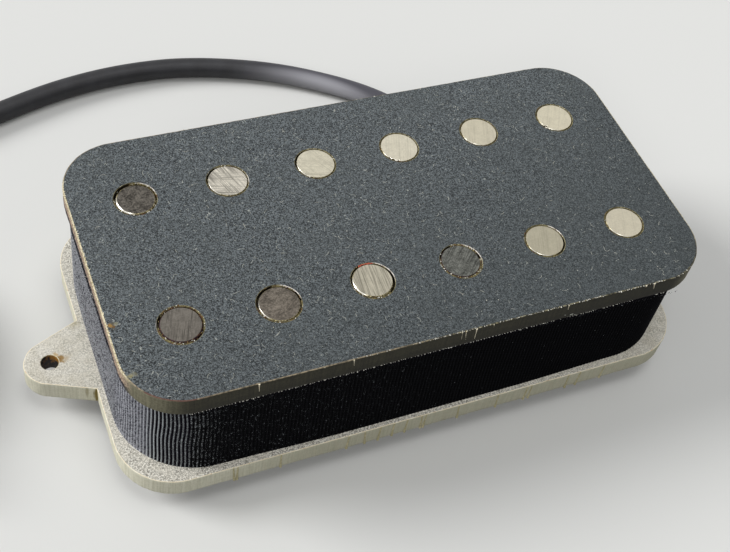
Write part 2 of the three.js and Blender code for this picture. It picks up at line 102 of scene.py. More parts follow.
# Lead
JACKET_DIAMETER = 2.8 * MM
JACKET_FINENESS = 7
JOINT_GAP = 0.3 * MM
SURFACE_GAP = 0.05 * MM
CONDUCTOR_DIAMETER = 0.85 * MM
CONDUCTOR_PITCH = 1.0 * MM
SHIELD_DIAMETER = 0.5 * MM
SHIELD_LAY = 3 * MM
SHIELD_SEAT = -0.96 * MM
TURNS = 3.25
TURN_STEPS = 78
TURN_INNER_RADIUS = 13 * MM
TURN_PITCH = 3.3 * MM
TURN_CENTRE = Vector((-67.2, 9.95, 0)) * MM
TURN_START = math.radians(120)
ENTRY_RUN = 6 * MM
TIE_THICKNESS = 0.25 * MM
TIE_CLEARANCE = 0.1 * MM
TIE_WIDTH = 3 * MM
TIE_ANGLE = math.radians(300)
BARE_LENGTH = 16 * MM
BARE_HALF_SPREAD = 4.5 * MM
TIP_LENGTH = 4 * MM
TIP_DIAMETER = 0.5 * MM
TIP_LAY = 3.2 * MM
LEAD_STEPS = 6
BARE_STEPS = 10
TIP_STEPS = 40
LEAD_LEVEL = JACKET_DIAMETER / 2 + SURFACE_GAP

# Eyelets and solder
EYELET_SIDES = 40
EYELET_BORE = 0.7 * MM
EYELET_BARREL = 1.0 * MM
EYELET_LIP = 0.3 * MM
EYELET_EDGE = 0.08 * MM
SOLDER_SHANK = 0.6 * MM
SOLDER_DROP = 0.7 * MM
SOLDER_STEPS = 10

# Route of the free lead on the surface, in millimetres, from the base to the stored turns
LEAD_ROUTE = [
    (21.05, 22), (20.75, 24.8), (19.9, 27.8), (18.4, 30.9), (16.4, 33.8), (14, 36.3), (11.3, 38.5),
    (8.2, 40.6), (5, 42.5), (1, 44.4), (-3.1, 45.9), (-7.3, 47.1), (-12, 47.95), (-17.3, 48.2),
    (-22.5, 47.9), (-28, 47), (-33.6, 45.5), (-42.6, 42.5), (-51.5, 39.05), (-60.1, 34.95),
]

# Route from the stored turns to the bared end, in millimetres, and the share of the drop left at each point
TAIL_ROUTE = [
    (-80.1, -4.5), (-78.5, -7), (-76.7, -9.4), (-74.8, -11.75), (-73.2, -13.6), (-71.5, -15.5),
    (-69.4, -17.6),
]
TAIL_DROP_SHARES = [0.915, 0.69, 0.4, 0.145, 0.02, 0, 0]


# Camera

def make_camera():
    data = bpy.data.cameras.new("camera")
    data.lens = CAMERA_LENS
    data.sensor_width = CAMERA_SENSOR
    data.sensor_fit = "HORIZONTAL"
    data.clip_start = 1 * MM
    camera = bpy.data.objects.new("camera", data)
    bpy.context.scene.collection.objects.link(camera)
    turn = Matrix((CAMERA_RIGHT, CAMERA_UP, CAMERA_BACK)).transposed()
    camera.matrix_world = Matrix.Translation(CAMERA_PLACE) @ turn.to_4x4()
    bpy.context.scene.camera = camera


make_camera()


# Materials

def shade(code):
    """A colour written as RRGGBB, as the linear values that Blender mixes."""
    parts = [int(code[i:i + 2], 16) / 255 for i in (0, 2, 4)]
    return tuple(c / 12.92 if c < 0.04045 else ((c + 0.055) / 1.055) ** 2.4 for c in parts) + (1,)


class Nodes:
    """A node tree with short ways to add nodes that are already joined. A text stands for a colour."""

    def __init__(self, tree):
        self.tree = tree

    def fill(self, made, inputs):
        for name, value in inputs.items():
            if isinstance(value, bpy.types.NodeSocket):
                self.tree.links.new(value, made.inputs[name])
            else:
                made.inputs[name].default_value = shade(value) if isinstance(value, str) else value

    def add(self, kind, inputs=None, **settings):
        made = self.tree.nodes.new("ShaderNode" + kind)
        for name, value in settings.items():
            setattr(made, name, value)
        self.fill(made, inputs or {})
        return made

    def math(self, operation, a, b=0.0, clamp=False):
        return self.add("Math", {0: a, 1: b}, operation=operation, use_clamp=clamp).outputs[0]

    def plus(self, a, b):
        return self.math("ADD", a, b)

    def minus(self, a, b):
        return self.math("SUBTRACT", a, b)

    def times(self, a, b):
        return self.math("MULTIPLY", a, b)

    def larger(self, a, b):
        return self.math("MAXIMUM", a, b)

    def distance(self, a, b):
        return self.add("VectorMath", {0: a, 1: b}, operation="DISTANCE").outputs["Value"]

    def mix(self, share, a, b):
        """A colour between a and b."""
        return self.add("Mix", {0: share, 6: a, 7: b}, data_type="RGBA").outputs[2]

    def band(self, value, low, high, to_low=0.0, to_high=1.0):
        """The value, spread smoothly from one range to another."""
        inputs = {"Value": value, "From Min": low, "From Max": high, "To Min": to_low, "To Max": to_high}
        return self.add("MapRange", inputs, interpolation_type="SMOOTHSTEP").outputs[0]

    def span(self, value, low, high, to_low=0.0, to_high=1.0):
        """The same for a value that is a length, with the first range in millimetres."""
        return self.band(value, low * MM, high * MM, to_low, to_high)

    def tint(self, value, low, high, a, b):
        """The colour a where the value is low, and b where it's high."""
        return self.mix(self.band(value, low, high), a, b)

    def noise(self, place, size, detail=2.0, roughness=0.5, distortion=0.0):
        """Cloudy pattern whose features are about the given size."""
        scale = self.math("DIVIDE", 1.0, size) if isinstance(size, bpy.types.NodeSocket) else 1 / size
        inputs = {"Vector": place, "Scale": scale, "Detail": detail, "Roughness": roughness}
        return self.add("TexNoise", {**inputs, "Distortion": distortion}).outputs[0]

    def stretched(self, place, scale, turn=0.0):
        """The place, turned about Z and then stretched."""
        turned = self.add("VectorRotate", {"Vector": place, "Angle": turn}, rotation_type="Z_AXIS")
        return self.add("VectorMath", {0: turned.outputs[0], 1: scale}, operation="MULTIPLY").outputs[0]


def effect(name, inputs, outputs, build):
    """A node group: build takes its nodes and named inputs and returns its named outputs."""
    tree = bpy.data.node_groups.new(name, "ShaderNodeTree")
    for label, kind, value in inputs:
        socket = tree.interface.new_socket(name=label, in_out="INPUT", socket_type="NodeSocket" + kind)
        if value is not None:
            socket.default_value = value
    for label, kind in outputs:
        tree.interface.new_socket(name=label, in_out="OUTPUT", socket_type="NodeSocket" + kind)
    source = tree.nodes.new("NodeGroupInput").outputs
    sink = tree.nodes.new("NodeGroupOutput")
    for label, socket in build(Nodes(tree), source).items():
        tree.links.new(socket, sink.inputs[label])
    return tree


def fibre_sheet(nodes, given):
    """Pressed fibre: a speckled face, cloudy patches and pale flecks, with the height of its grain."""
    place, size, limit = given["Place"], given["Grain"], given["Fleck Limit"]
    grain = nodes.noise(place, size, 3.0, 0.65)
    fine = nodes.noise(place, nodes.times(size, 0.5))
    speckle = nodes.plus(nodes.times(grain, 0.7), nodes.times(fine, 0.3))
    colour = nodes.tint(speckle, 0.4, 0.62, given["Dark"], given["Light"])
    patches = nodes.band(nodes.noise(place, given["Patch Size"], 3.0, 0.6), 0.35, 0.7)
    colour = nodes.mix(nodes.times(patches, given["Patches"]), colour, given["Patch"])
    spots = nodes.noise(place, nodes.times(size, 1.7), 2.0, 0.7, 1.2)
    fleck = nodes.band(spots, limit, nodes.plus(limit, 0.05))
    height = nodes.plus(speckle, nodes.times(fleck, 0.4))
    return {"Color": nodes.mix(fleck, colour, given["Fleck"]), "Height": height, "Mask": speckle}


FIBRE = effect(
    "pressed_fibre",
    [("Place", "Vector", None), ("Grain", "Float", 0.3 * MM), ("Dark", "Color", None),
     ("Light", "Color", None), ("Patch", "Color", None), ("Patches", "Float", 0.5),
     ("Patch Size", "Float", 6 * MM), ("Fleck", "Color", None), ("Fleck Limit", "Float", 0.7)],
    [("Color", "Color"), ("Height", "Float"), ("Mask", "Float")],
    fibre_sheet,
)


def score_lines(nodes, given):
    """Fine straight lines in one direction, of uneven strength."""
    across = nodes.stretched(given["Place"], (1.0, 0.035, 1.0), given["Turn"])
    fine = nodes.noise(across, given["Width"], 2.0, 0.6)
    deep = nodes.noise(across, nodes.times(given["Width"], 3.2), 2.0, 0.6)
    lines = nodes.plus(nodes.times(fine, 0.55), nodes.times(deep, 0.45))
    return {"Mask": nodes.band(lines, 0.46, 0.64)}


SCORES = effect(
    "score_lines",
    [("Place", "Vector", None), ("Turn", "Float", 0.0), ("Width", "Float", 0.12 * MM)],
    [("Mask", "Float")],
    score_lines,
)


def stain(nodes, given):
    """A blotch round one point, with a ragged rim."""
    ragged = nodes.noise(given["Place"], 0.5 * MM, 3.0, 0.6)
    reach = nodes.times(given["Radius"], nodes.band(ragged, 0.2, 0.8, 0.35, 1.5))
    away = nodes.math("DIVIDE", nodes.distance(given["Place"], given["Middle"]), reach)
    edge = nodes.math("SUBTRACT", 1.0, away, clamp=True)
    return {"Mask": nodes.times(nodes.band(edge, 0.0, 0.6), given["Strength"])}


STAIN = effect(
    "stain",
    [("Place", "Vector", None), ("Middle", "Vector", None), ("Radius", "Float", 1 * MM),
     ("Strength", "Float", 0.8)],
    [("Mask", "Float")],
    stain,
)


class Finish(Nodes):
    """A material with one principled shader, whose plain values sit on the shader's own sockets."""

    def __init__(self, name, colour, roughness, metallic=0.0, **sockets):
        self.material = bpy.data.materials.new(name)
        self.material.use_nodes = True
        super().__init__(self.material.node_tree)
        self.shader = self.tree.nodes["Principled BSDF"]
        self.place = self.add("TexCoord").outputs["Object"]
        self.set(Base_Color=colour, Roughness=roughness, Metallic=metallic, **sockets)

    def set(self, **sockets):
        self.fill(self.shader, {name.replace("_", " "): value for name, value in sockets.items()})

    def group(self, tree, **inputs):
        """The outputs of a shared effect at this material's place."""
        given = {name.replace("_", " "): value for name, value in inputs.items()}
        return self.add("Group", {"Place": self.place, **given}, node_tree=tree).outputs

    def split(self):
        """The place along x, y and z."""
        return self.add("SeparateXYZ", {0: self.place}).outputs

    def cloud(self, size, detail=3.0, roughness=0.6, distortion=0.0):
        """Cloudy pattern on the piece, with the size of its features in millimetres."""
        return self.noise(self.place, size * MM, detail, roughness, distortion)

    def painted(self, name):
        """A share that the piece carries at its points."""
        return self.add("Attribute", attribute_name=name).outputs["Fac"]

    def stained(self, colour, stains, **place):
        """The colour under stains, each with its x, y, z and radius in millimetres, strength and tint."""
        for x, y, z, radius, strength, tint in stains:
            middle = Vector((x, y, z)) * MM
            mask = self.group(STAIN, Middle=middle, Radius=radius * MM, Strength=strength, **place)["Mask"]
            colour = self.mix(mask, colour, tint)
        return colour

    def done(self, colour, height, depth, strength):
        """The material, once it has its colour and its relief, whose depth is in millimetres."""
        relief = self.add("Bump", {"Height": height, "Distance": depth * MM, "Strength": strength})
        self.set(Base_Color=colour, Normal=relief.outputs[0])
        return self.material


def slate_face():
    """Upper and lower face of the dark plate."""
    look = Finish("slate_fibre", "5b6366", 0.72, Specular_IOR_Level=0.35)
    sheet = look.group(
        FIBRE, Grain=0.17 * MM, Dark="0e1215", Light="747b7e", Patch="4f5454", Patches=0.25, Fleck="b4b7b0",
        Fleck_Limit=0.65,
    )
    along, across, _ = look.split()
    slant = look.minus(along, look.times(across, 1.8))
    # Darker towards the front right: painted shade, as the light falls off away from the left
    colour = look.mix(look.span(slant, -25, 60, 0.0, 0.52), sheet["Color"], "2e3435")
    colour = look.stained(colour, [
        (-33.5, -7.05, 20, 0.6, 0.6, "5f5236"), (-33.7, -7.0, 20, 0.32, 0.8, "a07a3a"),
        (-33.4, -7.25, 20, 0.2, 0.8, "6b4b1c"), (-33.05, -6.9, 20, 0.3, 0.3, "b4b088"),
        (-33.35, -13.5, 20, 0.4, 0.5, "a79d6b"), (-32.9, -13.3, 20, 0.45, 0.35, "9a9576"),
    ])
    look.set(Roughness=look.band(sheet["Mask"], 0.3, 0.7, 0.82, 0.62))
    return look.done(colour, sheet["Height"], 0.03, 0.7)


def edge_finish(name, dark, light, fine):
    """Sawn edge of a fibre plate: thin layers along it and saw lines down it."""
    look = Finish(name, light, 0.8, Specular_IOR_Level=0.3)
    layers = look.noise(look.stretched(look.place, (0.12, 0.12, 1.0)), 0.35 * MM)
    saw = look.noise(look.stretched(look.place, (1.0, 1.0, 0.05)), 0.22 * MM, 3.0, 0.6)
    mask = look.plus(look.times(layers, 0.15), look.times(saw, 0.85 - fine))
    mask = look.plus(mask, look.times(look.cloud(0.2, 2.0), fine))
    return look, look.tint(mask, 0.32, 0.68, dark, light), mask


def slate_edge():
    """Sawn edge of the dark plate: dark on the sides, partly as painted shade, and at the ends tan under a
    ragged cream line, partly as painted light, over a painted shadow at their foot.
    """
    look, colour, mask = edge_finish("slate_cut_edge", "23211a", "3b392c", 0.4)
    along, _, height = look.split()
    # Darker towards the right: painted shade, as the light falls off
    colour = look.mix(look.span(along, -5, 30, 0.0, 0.5), colour, "15140e")
    # Darker towards the foot of the sides: painted shade along the joint with the tape
    colour = look.mix(look.span(height, 17.9, 18.9, 0.45, 0.0), colour, "12120e")
    out = look.math("ABSOLUTE", along)
    # Lighter round the corners and at the ends: partly painted light, where the left lamp falls
    corner = look.mix(look.span(out, 28, 32.2), colour, look.tint(mask, 0.3, 0.7, "605d4c", "8a866f"))
    speck = look.band(look.cloud(0.22, 3.0, 0.7), 0.38, 0.62)
    tan, cream = look.mix(speck, "6b5a50", "cdb49c"), look.mix(speck, "97875f", "eee3c0")
    torn = look.times(look.cloud(0.45, 3.0, 0.7), 1.6 * MM)
    end = look.mix(look.span(look.plus(height, torn), 20.2, 20.6), tan, cream)
    flakes = look.tint(look.cloud(0.3, 3.0, 0.7), 0.62, 0.67, "1c1622", "dcdcd8")
    # A painted shadow along the foot of the ends, under the plate, with pale flecks in it
    end = look.mix(look.span(look.minus(height, torn), 17.4, 17.65, 1.0, 0.0), end, flakes)
    return look.done(look.mix(look.span(out, 33.3, 34.1), corner, end), mask, 0.03, 0.6)


def slate_arris():
    """Broken corner of the dark plate: olive with pale fibre, cream on the upper arris at the ends and dark
    on the lower one as a painted shadow, and one reddish stretch.
    """
    look = Finish("slate_arris", "4e4a3c", 0.6, Specular_IOR_Level=0.3)
    along, _, height = look.split()
    blotch, flakes = look.cloud(0.4), look.cloud(0.25, 3.0, 0.7)
    soft = look.tint(blotch, 0.35, 0.65, "5a5344", "a1937a")
    sharp = look.tint(blotch, 0.45, 0.65, "2f2d22", "8d8668")
    colour = look.mix(look.span(along, -9, 3), soft, sharp)
    upper = look.tint(flakes, 0.4, 0.6, "9c8e66", "efe5c4")
    # Dark at the foot of the ends: a painted shadow under the plate, with pale flecks
    lower = look.tint(flakes, 0.6, 0.66, "141018", "d6d6cf")
    end = look.mix(look.span(height, 18.0, 18.6), lower, upper)
    colour = look.mix(look.span(look.math("ABSOLUTE", along), 33.3, 34.1), colour, end)
    colour = look.stained(colour, [(-30.2, -17.3, 20, 4.5, 0.85, "5d3a34")])
    return look.done(colour, blotch, 0.05, 0.6)


def ivory_face():
    """Upper and lower face of the pale plate, calmer on the ears and to the right."""
    look = Finish("ivory_fibre", "d6d2c4", 0.75, Specular_IOR_Level=0.35)
    sheet = look.group(
        FIBRE, Grain=0.22 * MM, Dark="7f7b70", Light="f8f4e8", Patch="e6e0d1", Patches=0.5,
        Patch_Size=1.1 * MM, Fleck="f8f5ea", Fleck_Limit=0.66,
    )
    along = look.split()[0]
    ear = look.span(look.math("ABSOLUTE", along), 33.5, 35.5, 0.0, 0.5)
    calm = look.tint(look.cloud(1.3), 0.3, 0.7, "c4beac", "e4e0d4")
    colour = look.mix(look.larger(ear, look.span(along, 5, 33, 0.0, 0.5)), sheet["Color"], calm)
    colour = look.stained(colour, [
        (-38.0, 0.2, 5.7, 0.75, 0.9, "85601f"), (-37.6, 0.1, 5.7, 0.8, 0.4, "b0935a"),
        (-38.3, 0.75, 5.7, 0.5, 0.6, "c39a4c"), (-35.6, 4.9, 5.7, 1.1, 0.35, "b3a577"),
    ])
    look.set(Roughness=look.band(sheet["Mask"], 0.3, 0.7, 0.85, 0.65))
    return look.done(colour, sheet["Height"], 0.03, 0.6)


def ivory_edge():
    """Sawn edge of the pale plate, darker towards the right as painted shade, with three long marks down it
    near the left ear.
    """
    look, colour, mask = edge_finish("ivory_cut_edge", "cfccb4", "ece9d5", 0.3)
    # Darker towards the right: painted shade, as the light falls off
    colour = look.mix(look.span(look.split()[0], -28, -12, 0.0, 0.45), colour, "96937a")
    flatter = 0.15
    marks = [(-35.15, -4.9, 4.4, 0.5, 0.95), (-36.1, -4.4, 4.9, 0.25, 0.5), (-37.4, -3.6, 3.4, 0.25, 0.5)]
    marks = [(x, y, flatter * height, radius, strength, "7d6d2c") for x, y, height, radius, strength in marks]
    colour = look.stained(colour, marks, Place=look.stretched(look.place, (1.0, 1.0, flatter)))
    return look.done(colour, mask, 0.03, 0.6)


def slate_hole_rim():
    """Broken rim of a hole in the dark plate: olive with rust and pale fibre, and pale on the stretch that
    faces the left lamp, as torn fibre with a painted highlight.
    """
    look = Finish("slate_hole_rim", "5a5436", 0.6, Specular_IOR_Level=0.3)
    blotch, flakes = look.cloud(0.4), look.cloud(0.25)
    colour = look.tint(flakes, 0.58, 0.64, look.tint(blotch, 0.46, 0.54, "4f4a30", "8d8562"), "c9c09c")
    pale = look.tint(flakes, 0.35, 0.55, "8a8276", "f0e9e0")
    return look.done(look.mix(look.painted("torn_lit_share"), colour, pale), blotch, 0.05, 0.6)


def ivory_hole_wall():
    """Drilled wall in the pale plate: nearly black, as wax and painted shade inside the hole, and amber on
    one side of the left ear's hole.
    """
    look = Finish("ivory_hole_wall", "1d1307", 0.5, Specular_IOR_Level=0.3)
    blotch = look.cloud(0.5)
    # Nearly black: wax, and painted shade inside the hole
    wax = look.tint(blotch, 0.45, 0.65, "140d05", "4a3214")
    return look.done(look.stained(wax, [(-38.45, 0.7, 5.5, 1.3, 0.95, "b67f2e")]), blotch, 0.05, 0.6)


def patched(name, base, tints, size, roughness=0.6):
    """Blotches of several tints over a base, each tint with its limit. The size is in millimetres."""
    look = Finish(name, base, roughness, Specular_IOR_Level=0.3)
    colour = base
    for step, (tint, limit) in enumerate(tints):
        shift = Vector((step, 2 * step, 0)) * 7 * MM
        shifted = look.add("VectorMath", {0: look.place, 1: shift}).outputs[0]
        blotch = look.noise(shifted, size * MM, 3.0, 0.6)
        colour = look.tint(blotch, limit, limit + 0.08, colour, tint)
    return look.done(colour, blotch, 0.05, 0.6)


def woven_tape():
    """Black ribbed tape: each thread crosses the ribs in short beads, half a step on from rib to rib. Its
    left end and corner carry a painted sheen and highlights, as if lit from the left.
    """
    look = Finish(
        "woven_tape", "101014", 0.8, Specular_IOR_Level=0.03, Sheen_Weight=0.02, Sheen_Roughness=0.4,
        Sheen_Tint="aab0c8",
    )
    along, across, height = look.split()
    crest, sheen_end, flat = look.painted("rib_crest"), look.painted("end_share"), look.painted("flat_share")
    crown = look.band(crest, 0.58, 1.0)
    phase = look.plus(look.times(height, 1 / (0.34 * MM)), look.times(look.painted("rib_step"), 0.5))
    wave = look.math("SINE", look.times(phase, FULL_TURN))
    bead = look.times(look.plus(look.times(wave, 0.5), 0.5), look.band(look.cloud(0.5), 0.2, 0.7))
    side_thread = look.mix(look.times(crown, bead), "030304", "0a0a0d")

    # The rounded corner at the left, where the rib's crown carries a painted highlight in beads, as if lit
    # from the left, fading to the right
    gaps = look.times(look.minus(1.0, bead), look.band(sheen_end, 0.3, 1.0, 1.0, 0.45))
    lit_crown = look.times(look.band(crest, 0.66, 1.0), look.minus(1.0, gaps))
    lit_crown = look.times(lit_crown, look.span(along, -31.8, -29.8, 1.0, 0.38))
    gap = look.mix(look.span(along, -32.9, -31.2, 1.0, 0.0), "05030c", "3a3a46")
    corner_thread = look.mix(lit_crown, gap, "e8eef0")

    # The flat end at the left, with a painted sheen in a mottle, without ribs towards the front
    sheen_mottle = look.band(look.cloud(0.26, 3.0, 0.7), 0.38, 0.58)
    flat_thread = look.mix(look.times(crown, sheen_mottle), "39393f", "c9cad0")
    ribless_sheen = look.mix(look.plus(look.times(crown, 0.25), look.times(sheen_mottle, 0.75)), "3f3f48", "bcbdc5")
    flat_thread = look.mix(look.span(across, -11.5, -8.5, 1.0, 0.0), flat_thread, ribless_sheen)
    end_thread = look.mix(flat, corner_thread, flat_thread)
    thread = look.mix(look.band(sheen_end, 0.0, 0.7), side_thread, end_thread)

    # Dust and painted glints on the crowns, fading from the left corner, and a painted shadow under the dark
    # plate
    faint = look.band(look.cloud(0.17, 1.0, 0.5, 1.0), 0.7, 0.74)
    colour = look.mix(look.times(faint, look.span(along, -30, 10, 1.0, 0.0)), thread, "a4a8ae")
    limit = look.band(look.painted("dust_glint_share"), 0.0, 1.0, 0.72, 0.55)
    dust_and_glints = look.minus(look.cloud(0.2, 2.0, 0.7, 1.0), limit)
    colour = look.mix(look.times(look.band(dust_and_glints, 0.0, 0.03), crown), colour, "bcc1c4")
    # The painted shadow under the plate reaches lower at the back of the flat left end
    shadow_reach = look.times(flat, look.span(across, -9, -6, 0.0, 0.95 * MM))
    flakes = look.times(look.band(look.cloud(0.3, 3.0, 0.7), 0.64, 0.68), flat)
    shadow = look.mix(flakes, "050409", "d0d2d2")
    colour = look.mix(look.span(look.plus(height, shadow_reach), 16.8, 17.05), colour, shadow)
    return look.done(colour, bead, 0.05, 0.8)


def ground_metal(name, tone, passes, cloudy, roughness):
    """Ground end of a rod. A pass is its scratches' direction in degrees, width in mm and strength."""
    look = Finish(name, tone, roughness, 1.0)
    marks = 0.0
    for degrees, width, strength in passes:
        lines = look.group(SCORES, Turn=math.radians(90 - degrees), Width=width * MM)["Mask"]
        marks = look.larger(marks, look.times(lines, strength))
    coarse, fine = look.cloud(1.0, 4.0, 0.65), look.cloud(0.22, 3.0, 0.65)
    cloud = look.plus(look.times(coarse, 0.5), look.times(fine, 0.5))
    dull, pale, deep = (
        tuple(min(c * share, 0.95) for c in shade(tone)[:3]) + (1,)
        for share in (1 - 0.5 * cloudy, 1 + 0.8 * cloudy, 0.25)
    )
    colour = look.mix(marks, look.tint(cloud, 0.38, 0.62, dull, pale), deep)
    look.set(Roughness=look.band(marks, 0.0, 0.8, roughness, roughness + 0.14))
    return look.done(colour, marks, 0.012, 0.5)


def cast_metal():
    """Skin of a rod below its ground end."""
    look = Finish("rod_skin", "77746e", 0.5, 1.0)
    grain = look.cloud(0.35, 4.0, 0.65)
    look.set(Roughness=look.band(grain, 0.3, 0.7, 0.6, 0.4))
    return look.done(look.tint(grain, 0.3, 0.7, "55524c", "8d8a82"), grain, 0.03, 0.5)


def bevel_metal():
    """Broken rim between a rod's end and its side: bright on one stretch, where a reflection is painted in,
    and waxy on the rest.
    """
    look = Finish("rod_bevel", "c9c3b2", 0.28, 1.0)
    nicks, bright = look.cloud(0.25), look.painted("bright_share")
    # The bright stretch: a painted reflection, paler and glossier than the rest
    gleam = look.tint(nicks, 0.5, 0.75, "ece8dc", "8e877a")
    stained = look.tint(nicks, 0.4, 0.62, "4a4128", "b8ae8a")
    look.set(Roughness=look.band(bright, 0.0, 1.0, 0.5, 0.28))
    return look.done(look.mix(bright, stained, gleam), nicks, 0.02, 0.3)


def jacket_finish():
    """Satin jacket of the lead, with faint rub marks, and a painted highlight on the inner side of its first
    bend, near the base.
    """
    look = Finish("lead_jacket", "3c3c40", 0.5, Specular_IOR_Level=0.45)
    fine = look.cloud(0.3)
    plain = look.tint(look.cloud(2.5, 4.0), 0.35, 0.75, "1e1e21", "2c2c30")
    # Near the base: a painted highlight, pale on the inner side of the first bend and darker on its outer
    # side
    from_bend = look.distance(look.place, Vector((-6, 20, 1.45)) * MM)
    highlit_side = look.mix(look.span(from_bend, 23.7, 25.5, 1.0, 0.0), "48474f", "b8b7be")
    look.set(Roughness=look.band(fine, 0.3, 0.7, 0.46, 0.56))
    return look.done(look.mix(look.span(look.split()[0], -6, 13), plain, highlit_side), fine, 0.012, 0.4)


def plain_finish(name, dark, light, size, roughness, metallic=0.0, depth=0.01, **sockets):
    """Two near tones in a cloudy pattern, with a little of it in the gloss and the height, in millimetres."""
    look = Finish(name, light, roughness, metallic, **sockets)
    cloud = look.cloud(size)
    look.set(Roughness=look.band(cloud, 0.3, 0.7, roughness + 0.06, roughness - 0.06))
    return look.done(look.tint(cloud, 0.3, 0.7, dark, light), cloud, depth, 0.5)


# Each plate's finishes, in the order that tell_faces gives out
SLATE = [
    slate_face(), slate_edge(), patched("slate_hole_wall", "15110b", [("2c2312", 0.5)], 0.5),
    slate_hole_rim(), slate_arris(),
]
IVORY = [
    ivory_face(), ivory_edge(), ivory_hole_wall(),
    patched("ivory_hole_rim", "cfc8a8", [("e9e4cc", 0.5), ("a8823f", 0.6)], 0.45),
    patched("ivory_arris", "eee2c6", [("f6efdb", 0.5), ("d8bf98", 0.6)], 0.5),
]
SLIVER = patched("torn_sliver", "f1e7cd", [("dfcda4", 0.56)], 0.5, 0.7)
WORN = patched("worn_fibre", "b9b18c", [("cdc4a0", 0.5)], 0.5, 0.7)
TORN = patched("torn_fibre", "cfcdc3", [("f4f1e6", 0.48), ("a99d80", 0.6)], 0.5, 0.7)
CRUSTED_RIM = patched("crusted_rim", "241416", [("6b4a34", 0.55), ("a5967a", 0.61), ("30131f", 0.5)], 0.28)
ROD_WAX = patched("rod_wax", "413a20", [("6f6640", 0.46), ("43201a", 0.56), ("a89c6c", 0.62)], 0.35, 0.5)
LINT = patched("lint", "b9bbb2", [("d8d6c8", 0.5)], 0.6, 0.8)
GREY_DUST = patched("grey_dust", "36383a", [("8f9194", 0.57)], 0.3, 0.8)
AMBER_CRUMB = patched("wax_crumb", "6f5026", [("b59c66", 0.54), ("5a1f1c", 0.52)], 0.3, 0.45)
RED_SMEAR = patched("red_smear", "b4523e", [("cf8468", 0.55)], 0.3, 0.5)
WOVEN = woven_tape()
ROD_SKIN = cast_metal()
ROD_BEVEL_METAL = bevel_metal()
JACKET = jacket_finish()
WINDING = plain_finish("enamelled_wire", "5c2410", "8f4420", 0.2, 0.35, 0.6)
PAPER = plain_finish("paper_tape", "b7a06a", "d2c194", 1.5, 0.8)
BRASS = plain_finish("eyelet_brass", "9b7b34", "cbaa5c", 0.6, 0.3, 1.0)
SOLDER = plain_finish("solder", "9a9b9c", "c9cacc", 0.7, 0.28, 1.0, 0.04)
GLUE = plain_finish("set_glue", "a08a5e", "cdbd92", 1.2, 0.3, depth=0.08, Coat_Weight=0.3)
TINNED = plain_finish("tinned_strand", "8d8b86", "c3c1bb", 0.4, 0.33, 1.0)
TIE = plain_finish("tie_plastic", "cbc9c2", "e2e0d9", 1.5, 0.5)
WIRE_TONES = {
    "red": ("7c1410", "a5221c"), "white": ("bfbdb4", "dcdad1"), "green": ("124d27", "1f6b3a"),
    "black": ("0e0e0f", "1e1e20"),
}
WIRE_LOOKS = {
    colour: plain_finish(f"wire_{colour}", *tones, 1.5, 0.4) for colour, tones in WIRE_TONES.items()
}


# Ways of making a piece

def ease(value, low, high):
    """Share of the way from low to high, eased at both ends."""
    share = min(max((value - low) / (high - low), 0), 1)
    return share * share * (3 - 2 * share)


def way_at(angle):
    return Vector((math.cos(angle), math.sin(angle), 0))


def levelled(way):
    return Vector((way.x, way.y, 0))


def direction(way):
    """Direction of a way seen from above, in degrees."""
    return math.degrees(math.atan2(way.y, way.x))


def apart(angle, other):
    """Turn between two directions, in degrees from 0 to 180."""
    return abs((angle - other + 180) % 360 - 180)


def rise(edge):
    return abs(edge.verts[0].co.z - edge.verts[1].co.z)


def merge(bm, reach=MERGE_REACH):
    bmesh.ops.remove_doubles(bm, verts=bm.verts[:], dist=reach)


def bevel(bm, geom, offset, segments, affect):
    bmesh.ops.bevel(
        bm, geom=geom, offset=offset, offset_type="OFFSET", segments=segments, profile=0.5,
        affect=affect, material=-1,
    )


def draw_out(bm, grown, way):
    """Moves the new points of an extrusion."""
    bmesh.ops.translate(bm, verts=[v for v in grown["geom"] if isinstance(v, bmesh.types.BMVert)], vec=way)


def settle(piece, slot, *nodes):
    """Puts a piece in the scene, on the frame, and hides the solids that it stands for. Its slot is not used.
    """
    bpy.context.scene.collection.objects.link(piece)
    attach(piece, "root")
    if nodes:
        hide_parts(*nodes)
    return piece


def mesh_piece(bm, name, materials, slot, *nodes, sharp=math.radians(35)):
    merge(bm)
    bmesh.ops.recalc_face_normals(bm, faces=bm.faces[:])
    for face in bm.faces:
        face.smooth = True
    mesh = bpy.data.meshes.new(name)
    bm.to_mesh(mesh)
    bm.free()
    for material in materials:
        mesh.materials.append(material)
    mesh.set_sharp_from_angle(angle=sharp)
    return settle(bpy.data.objects.new(name, mesh), slot, *nodes)


def spun(profile, place, steps):
    """A turned shape from its profile of radii and heights, standing at a place."""
    bm = bmesh.new()
    verts = [bm.verts.new((r, 0, z)) for r, z in profile]
    edges = [bm.edges.new(pair) for pair in zip(verts, verts[1:])]
    bmesh.ops.spin(
        bm, geom=verts + edges, cent=(0, 0, 0), axis=(0, 0, 1), angle=FULL_TURN, steps=steps, use_merge=True,
    )
    merge(bm)
    bmesh.ops.translate(bm, verts=bm.verts[:], vec=levelled(place))
    return bm


def smooth_path(points, steps):
    """Points along a smooth curve through the given ones."""
    last = len(points) - 1
    ways = [(points[min(i + 1, last)] - points[max(i - 1, 0)]).normalized() for i in range(last + 1)]
    path = []
    for i in range(last):
        reach = (points[i + 1] - points[i]).length / 3
        knots = points[i], points[i] + ways[i] * reach, points[i + 1] - ways[i + 1] * reach, points[i + 1]
        path += interpolate_bezier(*knots, steps + 1)[:-1]
    return path + [points[last]]


